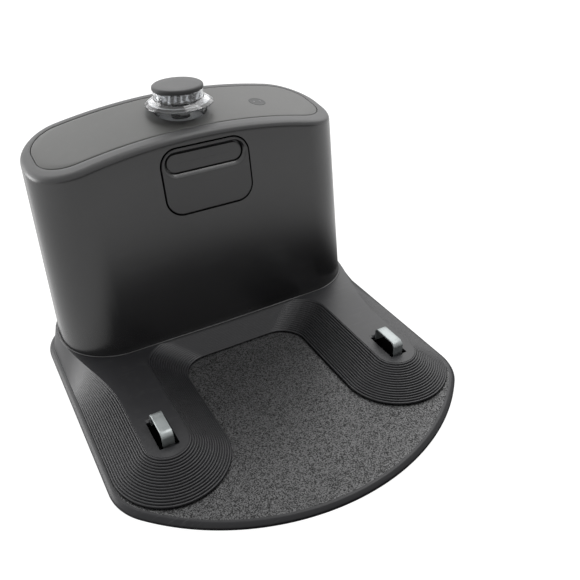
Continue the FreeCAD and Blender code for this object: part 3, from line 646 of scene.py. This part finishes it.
def slot_wall(side):
    """Walls of a contact slot: the slot's rectangle carried down, with a small worn lip."""
    x0, x1 = side * CONTACT_X - SLOT_HALF, side * CONTACT_X + SLOT_HALF
    y0, y1 = SLOT_FRONT, SLOT_REAR
    line = np.concatenate([run((x0, y0), (x1, y0), 6), run((x1, y0), (x1, y1), 10),
                           run((x1, y1), (x0, y1), 6), run((x0, y1), (x0, y0), 10)])
    centre = np.array([(x0 + x1) / 2, (y0 + y1) / 2])
    lip = centre + (line - centre) * 0.985
    return loops([lift(line, PLATEAU), lift(lip, PLATEAU - 0.25), lift(lip, PLATEAU - 2.2)])


def deck_patch():
    """Flat deck under and around the tower: rows across it, as wide as the plateau's outer edge."""
    y = np.concatenate([np.linspace(TOWER_FRONT, REAR_Y, 20),
                        REAR_Y + REAR_TOP * np.sin(np.linspace(0, np.pi / 2, 12))[1:]])
    corner = np.sqrt(np.clip(REAR_TOP ** 2 - np.maximum(y - REAR_Y, 0) ** 2, 0, None))
    outer = np.where(y < REAR_Y, plateau_edge(y), REAR_X + corner)
    share = np.linspace(-1, 1, 25)
    pts = np.empty((len(y), len(share), 3))
    pts[..., 0] = share * outer[:, None]
    pts[..., 1] = y[:, None]
    pts[..., 2] = PLATEAU - 0.002
    return patch(pts, flip=True)


class DOCK_OT_ramps(bpy.types.Operator):
    """Ramp cover: a terraced slope between two plan lines, flat plateaus, slots and the deck"""

    bl_idname = "dock.ramps"
    bl_label = "Ramp cover"

    def execute(self, context):
        patches = [ramp_slope(sizes().ribs, sizes().rib_fade), deck_patch()]
        for side in (1, -1):
            patches += [plateau_patch(side), slot_wall(side)]
        mat = plastic("ramp_matte", colours().cover, 0.42, drift=0.3, scuff=0.2, bump=0.05, fine=3200.0,
                      dust=0.03)
        piece("ramp_body", patches, mat, "dock", ["ramp_cover"], sharp=60)
        return {"FINISHED"}


# Tower


def wall_point(x, up, out):
    """A point in the plane of the leaning front wall, with a distance out of it."""
    return np.stack(np.broadcast_arrays(
        x, TOWER_FRONT + up * math.sin(LEAN) - out * math.cos(LEAN),
        PLATEAU + up * math.cos(LEAN) + out * math.sin(LEAN)), -1)


def window_line(inset):
    """Outline of the window, made smaller by an inset, in the plane of the wall."""
    corner = WINDOW_CORNER - inset
    return rounded(WINDOW_HALF - inset, WINDOW_LOW + inset, WINDOW_TALL - 2 * inset, corner, corner)


def window_mouth(ring):
    """Wall between the square opening in the mesh and the rounded mouth of the window, then its inner side.

    The mouth's points lie in the directions of the ring's points, seen from the middle of the window."""
    thirds = np.arange(3)[:, None] / 3
    fine = (ring[:, None] + (np.roll(ring, -1, 0) - ring)[:, None] * thirds).reshape(-1, 3)
    up = (fine[:, 2] - PLATEAU) / math.cos(LEAN)
    line = window_line(-WINDOW_GAP)
    centre = WINDOW_LOW + WINDOW_TALL / 2
    bearing = np.arctan2(line[:, 1] - centre, line[:, 0])
    reach = np.hypot(line[:, 0], line[:, 1] - centre)
    order = np.argsort(bearing)
    angle = np.arctan2(up - centre, fine[:, 0])
    radius = np.interp(angle, bearing[order], reach[order], period=2 * np.pi)
    x = radius * np.cos(angle)
    y = centre + radius * np.sin(angle)
    return loops([fine, wall_point(x, y, 0.0), wall_point(x, y, -1.6)])


def tower_rows(rim):
    """Rows of the tower from its foot to the beacon's hole, and the number of the window's first row.

    Straight lines run from the foot outline to the head outline until they meet the crown. A quadratic
    curve rounds each into it, and the rows go on to the seam, down beside the plate and in to the hole."""
    foot = rounded(*TOWER_FOOT)
    head = rounded(*TOWER_HEAD)
    seam = rounded(*TOWER_SEAM)

    def plan(at):
        """Plan points at a share of each straight line."""
        return foot + (head - foot) * np.reshape(at, (-1, 1))

    def wall(at):
        """Points at a share of each straight line."""
        return lift(plan(at), PLATEAU + TOWER_TALL * np.asarray(at))

    t = np.full(len(foot), 0.9)
    for _ in range(12):
        t = (crown(plan(t)) - PLATEAU) / TOWER_TALL
    edge = plan(t)
    gap = np.linalg.norm(seam - edge, axis=1)
    radius = np.minimum(rim, 0.9 * gap)
    stop = t - radius / TOWER_TALL
    outward = foot - np.array([0.0, TOWER_MIDDLE])
    outward /= np.linalg.norm(outward, axis=1)[:, None]
    rows = [lift(foot + outward * reach, PLATEAU + rise)
            for reach, rise in ((0.95, -0.05), (0.9, 0.28), (0.7, 0.42), (0.25, 0.46), (0.02, 0.34))]
    rows += [wall(share) for share in (0.007, 0.03, 0.06, 0.09, 0.128, 0.2, 0.3, 0.4, 0.48)]
    first = len(rows)
    for share in np.append(np.linspace(0, WINDOW_REACH, WINDOW_ROWS + 1), 1.0):
        rows.append(wall(WINDOW_FOOT + (stop - WINDOW_FOOT) * share))
    begin = rows[-1]
    inner = edge + (seam - edge) / gap[:, None] * radius[:, None]
    end = lift(inner, crown(inner))
    peak = lift(edge, crown(edge))
    for s in np.linspace(0, 1, 11)[1:]:
        rows.append(begin * (1 - s) ** 2 + 2 * peak * s * (1 - s) + end * s ** 2)
    for s in (0.5, 0.9):
        xy = inner + (seam - inner) * s
        rows.append(lift(xy, crown(xy)))
    rows += [lift(seam, crown(seam) - sink) for sink in (0.12, 1.1, PLATE_SEAT)]
    hole = beacon_hole(seam, 11.3)
    for s in (0.5, 1.0):
        xy = seam + (hole - seam) * s
        rows.append(lift(xy, crown(xy) - PLATE_SEAT))
    return rows, first


class DOCK_OT_tower(bpy.types.Operator):
    """Tower: straight lines from the foot outline to the head outline, cut by the crown and rounded off"""

    bl_idname = "dock.tower"
    bl_label = "Tower shell"

    def execute(self, context):
        rows, first = tower_rows(sizes().rim_round)
        last = first + WINDOW_ROWS
        pts = np.stack(rows, 1)
        keep = np.ones((len(pts), len(rows) - 1), bool)
        mid = (pts[:, :, 0] + np.roll(pts[:, :, 0], -1, 0)) / 2
        inlet = (pts[:, :INLET_ROWS, 1] > INLET_WALL_Y) & (np.abs(mid[:, :INLET_ROWS]) < INLET_HALF)
        keep[:, :INLET_ROWS] &= ~inlet
        left, right = WINDOW_LEFT, WINDOW_RIGHT
        keep[left:right, first:last] = False
        ring = np.concatenate([pts[left:right, first], pts[right, first:last], pts[right:left:-1, last],
                               pts[left, last:first:-1]])
        mat = plastic("tower_satin", colours().shell, 0.24, scuff=0.12, bump=0.10, fine=2600.0, dust=0.02,
                      specular=0.75, top_dull=0.32)
        piece("tower_body", [loops(rows, keep=keep), window_mouth(ring)], mat, "dock",
              ["tower_shell"], sharp=40)
        return {"FINISHED"}


class DOCK_OT_top_plate(bpy.types.Operator):
    """Top plate: rings from the seam outline to the beacon hole, laid on the crown"""

    bl_idname = "dock.top_plate"
    bl_label = "Glossy top plate"

    def execute(self, context):
        rows = []
        for inset, sink in ((0.0, 1.6), (0.0, 0.25), (0.08, 0.1), (0.3, 0.02)):
            corner = PLATE_CORNER - inset
            line = rounded(PLATE_HALF - inset, PLATE_FRONT + inset, PLATE_DEEP - 2 * inset, corner, corner)
            rows.append(lift(line, crown(line) - sink))
        hole = beacon_hole(line, 11.15)
        for s in np.linspace(0, 1, 14)[1:-1]:
            ring = line + (hole - line) * s
            rows.append(lift(ring, crown(ring)))
        rows += [lift(hole, crown(hole) - sink) for sink in (0.1, 1.6)]
        mat = plastic("top_gloss", colours().gloss, 0.5, drift=0.2, scuff=0.05, bump=0.05, fine=2200.0,
                      dust=0.02)
        piece("top_plate_gloss", [loops(rows)], mat, "dock", ["top_plate"])
        return {"FINISHED"}


class DOCK_OT_front_panel(bpy.types.Operator):
    """Window: outlines from its edge through a chamfered obround, a dark gap and the inset floor"""

    bl_idname = "dock.front_panel"
    bl_label = "Front window"

    def execute(self, context):
        deep = sizes().recess_deep
        lines = [(window_line(inset), out)
                 for inset, out in ((0.0, -1.2), (0.0, 0.08), (0.1, 0.24), (0.3, 0.3), (0.5, 0.3))]
        # Obround outlines by half width, lower edge, height, corner and distance out of the wall
        for half, low, tall, corner, out in (
                (18.15, 15.2, 11.2, 5.5, 0.3), (17.95, 15.4, 10.8, 5.3, 0.3), (17.75, 15.6, 10.4, 5.15, 0.2),
                (17.1, 16.7, 8.9, 4.4, -0.75), (17.0, 16.85, 8.7, 4.3, -0.9),
                (17.0, 16.85, 8.7, 4.3, -deep - 1.0), (16.4, 17.45, 7.5, 3.7, -deep - 1.0),
                (16.4, 17.45, 7.5, 3.7, 0.55 - deep), (16.2, 17.65, 7.1, 3.5, 0.7 - deep),
                (11.0, 20.8, 0.8, 0.3, 0.7 - deep), (10.8, 21.19, 0.02, 0.005, 0.7 - deep)):
            lines.append((rounded(half, WINDOW_LOW + low, tall, corner, corner), out))
        rows = [wall_point(line[:, 0], line[:, 1], out) for line, out in lines]
        mat = plastic("window_dark", (0.009, 0.009, 0.010), 0.3, drift=0.2, scuff=0.06, fine=2600.0,
                      dust=0.02, specular=0.75)
        piece("front_window", [loops(rows)], mat, "dock", ["front_panel"], sharp=35)
        # A near-black matte ring sunk behind the gap round the window: painted shade in the gap.
        gap = [window_line(inset) for inset in (-1.2, 0.5)]
        ring = [wall_point(line[:, 0], line[:, 1], -1.1) for line in gap]
        shade = plastic("window_gap_painted_shade", (0.002, 0.002, 0.002), 0.9, scuff=0.0, dust=0.0, specular=0.0)
        piece("window_painted_shade_ring", [loops(ring)], shade, "dock")
        return {"FINISHED"}


# Beacon and indicator


def facet_ring():
    """Twelve upright facets: a triangle wave round the axis takes from the radius, most at half height."""
    a = np.linspace(0, 2 * np.pi, 144, endpoint=False)
    wave = np.abs(((a * 12 / (2 * np.pi)) % 1) * 2 - 1)
    level = np.array([107.9, 108.4, 109.7, 111.0, 111.4])
    depth = np.array([0.2, 0.6, 1.0, 0.6, 0.2])
    belly = np.array([0.0, 0.25, 0.7, 0.25, 0.0])
    reach = 8.6 - 2.4 * wave[:, None] * depth + belly * 0.6
    return patch(np.stack([reach * np.cos(a)[:, None], BEACON_Y + reach * np.sin(a)[:, None],
                           np.broadcast_to(level, reach.shape)], -1), closed_u=True)


class DOCK_OT_beacon(bpy.types.Operator):
    """Beacon: clear turret, cap, emitter and reflector turned from outlines, and a ring of facets"""

    bl_idname = "dock.beacon"
    bl_label = "Beacon lens and cap"

    def execute(self, context):
        outer = [(10.9, 99.0), (10.9, 104.9), (11.1, 105.2), (14.1, 105.25), (14.4, 105.45), (14.3, 105.85),
                 (11.5, 107.7), (10.8, 108.05), (10.5, 108.5), (10.45, 111.2), (10.3, 111.4)]
        inner = [(9.2, 111.4), (9.3, 108.6), (9.7, 107.8), (12.6, 106.2), (10.2, 105.9), (9.7, 105.2),
                 (9.7, 99.0)]
        cap = [(0.0, 111.4), (9.9, 111.4), (10.5, 111.5), (10.75, 111.75), (10.8, 112.5), (10.65, 112.95),
               (10.2, 113.28), (9.6, 113.4), (6.0, 113.36), (0.0, 113.35)]
        led = [(4.0, 88.0), (4.0, 104.2), (3.8, 104.8), (3.2, 105.0), (2.5, 105.1), (2.3, 105.4),
               (1.6, 105.8), (0.0, 105.9)]
        dish = [(4.1, 99.2), (4.1, 99.8), (9.3, 99.9), (9.5, 100.0), (9.55, 99.9), (9.55, 99.2), (4.1, 99.2)]
        mat = clear("lens_clear", (0.66, 0.67, 0.68), 0.05)
        shell = turned(outer + inner + outer[:1], 0, BEACON_Y)
        piece("beacon_turret", [shell], mat, "dock", ["beacon_lens"], sharp=28)
        # The facets' bright and dark colours are painted reflections.
        reflection_paint = painted_reflection_facets("facet_painted_reflection", (0.80, 0.81, 0.83), (0.02, 0.02, 0.024))
        piece("beacon_facets", [facet_ring()], reflection_paint, "dock", sharp=15)
        cap_mat = plastic("cap_satin", (0.040, 0.040, 0.041), 0.5, drift=0.15, scuff=0.08, bump=0.05,
                          dust=0.03, specular=0.3)
        piece("beacon_cap", [turned(cap, 0, BEACON_Y)], cap_mat, "dock", ["lens_cap"])
        led_mat = plastic("emitter_smoke", (0.012, 0.012, 0.014), 0.12, scuff=0.0, bump=0.02, dust=0.0)
        dish_mat = plastic("reflector_pale", (0.78, 0.78, 0.79), 0.35, scuff=0.0, bump=0.02, dust=0.0)
        piece("beacon_reflector", [turned(dish, 0, BEACON_Y)], dish_mat, "dock")
        piece("beacon_emitter", [turned(led, 0, BEACON_Y)], led_mat, "dock", ["beacon_led"])
        return {"FINISHED"}


def crown_disc(cx, cy, rings, count):
    """Rings of a radius and a rise, laid on the crown round one middle."""
    a = np.linspace(0, 2 * np.pi, count, endpoint=False)
    rows = []
    for radius, rise in rings:
        line = np.stack([cx + radius * np.cos(a), cy + radius * np.sin(a)], -1)
        rows.append(lift(line, crown(line) + rise))
    return loops(rows)


class DOCK_OT_indicator(bpy.types.Operator):
    """Indicator: a round window lying on the crown, with two small lamps on it"""

    bl_idname = "dock.indicator"
    bl_label = "Indicator light"

    def execute(self, context):
        rings = ((3.8, -0.6), (3.8, 0.02), (3.65, 0.08), (3.45, 0.06), (2.0, 0.05), (0.0, 0.05))
        disc = crown_disc(INDICATOR_X, INDICATOR_Y, rings, 64)
        mat = plastic("indicator_smoke", (0.006, 0.006, 0.007), 0.3, scuff=0.0, bump=0.02, dust=0.01,
                      specular=0.12)
        piece("indicator_window", [disc], mat, "dock", ["indicator_light"])
        dots = ((0.5, 0.04), (0.5 * 0.85, 0.11), (0.0, 0.13))
        marks = [crown_disc(INDICATOR_X + x, INDICATOR_Y + y, dots, 32)
                 for x, y in ((-1.5, 0.0), (1.5, 0.2))]
        lamp_mat = plastic("indicator_lamp", (0.07, 0.07, 0.072), 0.4, scuff=0.0, bump=0.02, dust=0.0)
        piece("indicator_marks", marks, lamp_mat, "dock")
        return {"FINISHED"}


# Contacts


def strip_along(path, wide, thick, cx):
    """A rounded strip section carried along a path in the Y and Z plane, with a fan closing each end."""
    step = np.gradient(path, axis=0)
    step /= np.linalg.norm(step, axis=1)[:, None]
    normal = np.stack([-step[:, 1], step[:, 0]], -1)
    r = thick * 0.38
    corners = ((1, 1), (-1, 1), (-1, -1), (1, -1))
    section = np.concatenate([
        ring_arc(sx * (wide / 2 - r), sy * (thick / 2 - r), r, 90 * turn, 90 * turn + 90, 4)
        for turn, (sx, sy) in enumerate(corners)])
    pts = np.empty((len(path), len(section), 3))
    pts[..., 0] = cx + section[:, 0]
    pts[..., 1] = path[:, 0][:, None] + normal[:, 0][:, None] * section[:, 1]
    pts[..., 2] = path[:, 1][:, None] + normal[:, 1][:, None] * section[:, 1]
    ends = [loops([row, np.broadcast_to(row.mean(0), row.shape)], flip=flip)
            for row, flip in ((pts[0], True), (pts[-1], False))]
    return [patch(pts, closed_v=True, flip=True)] + ends


def arch(cy, half, low, high, bend):
    """Centre line of an arch: up, round, across, round and down."""
    return np.concatenate([
        run((cy - half, low), (cy - half, high - bend), 8),
        ring_arc(cy - half + bend, high - bend, bend, 180, 90, 14),
        run((cy - half + bend, high), (cy + half - bend, high), 8),
        ring_arc(cy + half - bend, high - bend, bend, 90, 0, 14),
        run((cy + half, high - bend), (cy + half, low), 8), np.array([[cy + half, low]])])


class DOCK_OT_contacts(bpy.types.Operator):
    """Contacts: on each side a rounded strip section carried along an arch, and along a bowed leaf spring"""

    bl_idname = "dock.contacts"
    bl_label = "Contact straps"

    def execute(self, context):
        thick = sizes().strap_thick
        mat = metal("contact_plated", colours().metal, 0.46)
        # Near-black and without any reflection: the carrier's own black plastic, darkened further as painted
        # shade for the void of the slot.
        dark = plastic("carrier_black_painted_shade", (0.002, 0.002, 0.002), 0.8, scuff=0.0, dust=0.0, specular=0.0)
        steel = metal("spring_steel", (0.5, 0.5, 0.5), 0.35)
        for side, word in ((1, "right"), (-1, "left")):
            x = side * CONTACT_X
            path = arch(CONTACT_Y, STRAP_HALF - thick / 2, STRAP_LOW, STRAP_TOP - thick / 2, STRAP_BEND)
            piece("contact_strip_" + word, strip_along(path, STRAP_WIDE, thick, x), mat, "contact_" + word,
                  ["contact_strap_" + word])
            finish_node("contact_carrier_" + word, dark)
            low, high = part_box("contact_spring_" + word)
            bow = arch(CONTACT_Y, SPRING_HALF, low[2] / MM, high[2] / MM - SPRING_THICK / 2, SPRING_BEND)
            leaf = piece("leaf_spring_" + word, strip_along(bow, SPRING_WIDE, SPRING_THICK, x), steel,
                         "dock", ["contact_spring_" + word])
            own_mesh(leaf)
        return {"FINISHED"}


# Underside and inner parts


def screw(x, y):
    """A screw turned round an upright axis; points near two crossed lines are pressed in for its recess."""
    flat = [(radius, 0.85) for radius in (0.0, 0.3, 0.5, 0.7, 0.9, 1.1, 1.3)]
    rim = [(1.5, 0.86), (1.7, 0.87), (2.0, 0.9), (2.3, 0.97), (2.5, 1.1), (2.6, 1.3), (2.6, 2.15)]
    shank = [(1.4, 2.2), (1.4, 7.7), (0.0, 7.8)]
    radius, level = np.array(flat + rim + shank).T
    a = np.linspace(0, 2 * np.pi, 64, endpoint=False)
    px = np.cos(a)[:, None] * radius
    py = np.sin(a)[:, None] * radius
    cross = np.minimum(np.abs(px), np.abs(py)) < 0.32
    z = level + np.where(cross & (radius < 1.65) & (level < 1.0), 0.7, 0.0)
    return patch(np.stack([px + x, py + y, z], -1), closed_u=True)


class DOCK_OT_underside(bpy.types.Operator):
    """Feet and screws: profiles turned round upright axes; a cross recess is pressed into each screw head"""

    bl_idname = "dock.underside"
    bl_label = "Feet and screws"

    def execute(self, context):
        foot = [(0, 0.0), (4.0, 0.0), (4.3, 0.05), (4.6, 0.22), (4.9, 0.2), (5.2, 0.0), (6.3, 0.0),
                (6.75, 0.12), (7.0, 0.45), (7.0, 1.8), (0, 1.8)]
        pads = [turned(foot, x, y, 56) for x in (60.0, -60.0) for y in (-44.0, 62.0)]
        rubber = plastic("foot_rubber", (0.018, 0.018, 0.018), 0.78, bump=0.4, dust=0.12, specular=0.3)
        piece("foot_pads", pads, rubber, "dock", ["rubber_feet"])
        screws = [screw(x, y) for x, y in ((43.0, -44.0), (-43.0, -44.0), (40.0, 69.0), (-40.0, 69.0))]
        steel = metal("screw_zinc", (0.45, 0.45, 0.44), 0.38)
        piece("screw_set", screws, steel, "dock", ["base_screws"])
        return {"FINISHED"}


class DOCK_OT_inside(bpy.types.Operator):
    """Finishes for the inlet and the parts inside the tower"""

    bl_idname = "dock.inside"
    bl_label = "Inlet and inner parts"

    def execute(self, context):
        looks = {
            "inlet_socket": plastic("inlet_black", (0.014, 0.014, 0.015), 0.42, scuff=0.2),
            "inlet_pins": metal("pin_brass", (0.62, 0.48, 0.22), 0.3),
            "power_board": plastic("board_green", (0.012, 0.09, 0.035), 0.4, drift=0.4),
            "beacon_board": plastic("board_green_small", (0.012, 0.09, 0.035), 0.4, drift=0.4),
            "transformer": plastic("core_varnish", (0.09, 0.06, 0.035), 0.5, drift=0.5),
            "capacitors": plastic("can_sleeve", (0.03, 0.04, 0.09), 0.3),
            "board_screws": metal("board_screw_steel", (0.5, 0.5, 0.5), 0.35),
            "beam_leds": plastic("beam_emitter", (0.12, 0.10, 0.13), 0.15, scuff=0.0),
        }
        for name, mat in looks.items():
            finish_node(name, mat)
        return {"FINISHED"}


# Studio, in metres

FLOOR_HALF = 3.0
FLAG_HALF, FLAG_Y, FLAG_TALL = 2.2, -1.3, 0.42
SHADE_HALF = 0.3
SHADE_MIDDLE = (0.035, -0.03, 0.0)
CAMERA_AZIMUTH, CAMERA_ELEVATION, CAMERA_ROLL = (math.radians(a) for a in (-27.8335, 33.5189, -1.9474))
CAMERA_AIM = (0.0, -0.03538, 0.064165)
CAMERA_AWAY = 0.2380907
SENSOR = 36.0
# Focal length and picture width in pixels
FOCAL_PIXELS, PICTURE_PIXELS = 678.279, 580


def lamp(name, place, target, power, wide, tall):
    """A rectangular lamp at a place, turned to look at a target."""
    data = bpy.data.lights.new(name, "AREA")
    data.shape = "RECTANGLE"
    data.size = wide
    data.size_y = tall
    data.energy = power
    obj = bpy.data.objects.new(name, data)
    obj.location = place
    aim = Vector(target) - Vector(place)
    obj.rotation_euler = aim.to_track_quat("-Z", "Y").to_euler()
    bpy.context.scene.collection.objects.link(obj)


def seen_rays(tree):
    """1 for camera, glossy and transmission rays, and 0 for the light that falls on the object."""
    path = node(tree, "ShaderNodeLightPath").outputs
    first = maths(tree, "MAXIMUM", path["Is Camera Ray"], path["Is Glossy Ray"])
    return maths(tree, "MAXIMUM", first, path["Is Transmission Ray"])


def glow(tree, strength):
    """White light of a strength."""
    return node(tree, "ShaderNodeEmission", {"Color": (1, 1, 1, 1), "Strength": strength}).outputs[0]


def show(tree, shader):
    """A shader as the whole look of a material."""
    tree.links.new(shader, tree.nodes["Material Output"].inputs[0])


def floor_finish():
    """Pale floor that keeps the object's shadow and is nearly white where a camera or a mirror sees it."""
    mat, tree, bsdf = finish("studio_white")
    settle(bsdf, {"Base Color": (*colours().floor, 1), "Roughness": 0.9})
    share = maths(tree, "MULTIPLY", seen_rays(tree), 0.84)
    both = node(tree, "ShaderNodeMixShader", {0: share, 1: bsdf.outputs[0], 2: glow(tree, 1.2)})
    show(tree, both.outputs[0])
    return mat


def flag_finish():
    """Plain grey light."""
    mat, tree, _ = finish("studio_grey")
    show(tree, glow(tree, 0.32))
    return mat


def shade_finish():
    """Painted shadow of the dock on the floor, seen only by reflections: dark round the dock's front and
    right, rising smoothly to white with the distance from there.
    """
    mat, tree, _ = finish("studio_shade")
    away = node(tree, "ShaderNodeVectorMath", {0: coords(tree), 1: SHADE_MIDDLE}, operation="DISTANCE")
    show(tree, glow(tree, spread(tree, away.outputs["Value"], 0.085, 0.16, 0.03, 1.0, curve="SMOOTHSTEP")))
    return mat


def level_card(half, z):
    """Corners of a level square."""
    return np.array([[[-half, -half, z], [-half, half, z]], [[half, -half, z], [half, half, z]]])


def studio_card(name, corners, material, mirrors_only=False):
    """A flat card of the stage between two by two corners, seen by everything or only by reflections."""
    verts, quads = patch(corners)
    mesh = bpy.data.meshes.new(name)
    mesh.from_pydata(verts.tolist(), [], quads.tolist())
    mesh.materials.append(material)
    card = bpy.data.objects.new(name, mesh)
    bpy.context.scene.collection.objects.link(card)
    if mirrors_only:
        card.visible_camera = card.visible_diffuse = card.visible_shadow = card.visible_transmission = False


def studio_world():
    """White world for the rays that see it, and a little even light on the object."""
    world = bpy.data.worlds.new("studio_world")
    world.use_nodes = True
    tree = world.node_tree
    back = tree.nodes["Background"]
    tree.links.new(spread(tree, seen_rays(tree), to_low=0.12, to_high=1.0), back.inputs["Strength"])
    settle(back, {"Color": (1, 1, 1, 1)})
    return world


def studio_camera():
    """Camera at a distance from its aim, by azimuth and elevation, turned round its own axis by the roll."""
    az, el, roll = CAMERA_AZIMUTH, CAMERA_ELEVATION, CAMERA_ROLL
    away = Vector((math.sin(az) * math.cos(el), -math.cos(az) * math.cos(el), math.sin(el)))
    right = Vector((math.cos(az), math.sin(az), 0))
    up = away.cross(right)
    side = right * math.cos(roll) + up * math.sin(roll)
    top = up * math.cos(roll) - right * math.sin(roll)
    data = bpy.data.cameras.new("studio_camera")
    data.sensor_width = SENSOR
    data.lens = FOCAL_PIXELS / PICTURE_PIXELS * SENSOR
    data.clip_start = 0.01
    camera = bpy.data.objects.new("studio_camera", data)
    turn = Matrix((side, top, away)).transposed().to_4x4()
    camera.matrix_world = Matrix.Translation(Vector(CAMERA_AIM) + away * CAMERA_AWAY) @ turn
    bpy.context.scene.collection.objects.link(camera)
    return camera


class DOCK_OT_stage(bpy.types.Operator):
    """Studio: a pale floor, two cards that only reflections see, soft lamps, the world and the camera"""

    bl_idname = "dock.stage"
    bl_label = "Studio"

    def execute(self, context):
        scene = context.scene
        scene.view_settings.view_transform = "Standard"
        studio_card("studio_floor", level_card(FLOOR_HALF, -0.0002), floor_finish())
        flag = np.array([[[x, FLAG_Y, 0.0], [x, FLAG_Y, FLAG_TALL]] for x in (-FLAG_HALF, FLAG_HALF)])
        studio_card("studio_flag", flag, flag_finish(), mirrors_only=True)
        # A painted shadow of the dock on the floor, which only reflections see.
        studio_card("studio_shade", level_card(SHADE_HALF, -0.0001)[::-1], shade_finish(), mirrors_only=True)
        scene.world = studio_world()
        lamp("back_right", (0.52, 0.70, 0.74), (0.02, 0.05, 0.08), 10.5, 1.8, 1.0)
        lamp("back_left", (-0.45, 0.80, 0.62), (-0.02, 0.0, 0.02), 3.4, 0.9, 0.6)
        lamp("left_low", (-0.70, 0.55, 0.16), (-0.07, 0.04, 0.05), 3.0, 0.5, 0.3)
        lamp("top_soft", (0.40, 0.0, 0.95), (0, -0.02, 0), 3.0, 0.5, 0.5)
        scene.camera = studio_camera()
        return {"FINISHED"}


PIECES = (DOCK_OT_base, DOCK_OT_ramps, DOCK_OT_tower, DOCK_OT_top_plate, DOCK_OT_front_panel, DOCK_OT_beacon,
          DOCK_OT_indicator, DOCK_OT_contacts, DOCK_OT_underside, DOCK_OT_inside, DOCK_OT_stage)


class DOCK_PT_panel(bpy.types.Panel):
    """Sidebar list of the dock's pieces"""

    bl_idname = "DOCK_PT_panel"
    bl_label = "Charging dock"
    bl_space_type = "VIEW_3D"
    bl_region_type = "UI"
    bl_category = "Dock"

    def draw(self, context):
        for kind in PIECES:
            self.layout.operator(kind.bl_idname)
        for name in ("ribs", "rib_fade", "rim_round", "recess_deep", "strap_thick"):
            self.layout.prop(context.scene.dock_sizes, name)
        for name in ("shell", "cover", "base", "gloss", "metal", "floor"):
            self.layout.prop(context.scene.dock_colours, name)


CLASSES = (DockSizes, DockColours, *PIECES, DOCK_PT_panel)


def register():
    """Makes the classes known to Blender, and gives the scene its sizes and colours."""
    for kind in CLASSES:
        bpy.utils.register_class(kind)
    bpy.types.Scene.dock_sizes = bpy.props.PointerProperty(type=DockSizes)
    bpy.types.Scene.dock_colours = bpy.props.PointerProperty(type=DockColours)


def unregister():
    """Takes back what register did."""
    del bpy.types.Scene.dock_colours
    del bpy.types.Scene.dock_sizes
    for kind in reversed(CLASSES):
        bpy.utils.unregister_class(kind)


def main():
    """Builds every piece in order."""
    register()
    for kind in PIECES:
        group_name, call = kind.bl_idname.split(".")
        getattr(getattr(bpy.ops, group_name), call)()


if __name__ == "__main__":
    main()
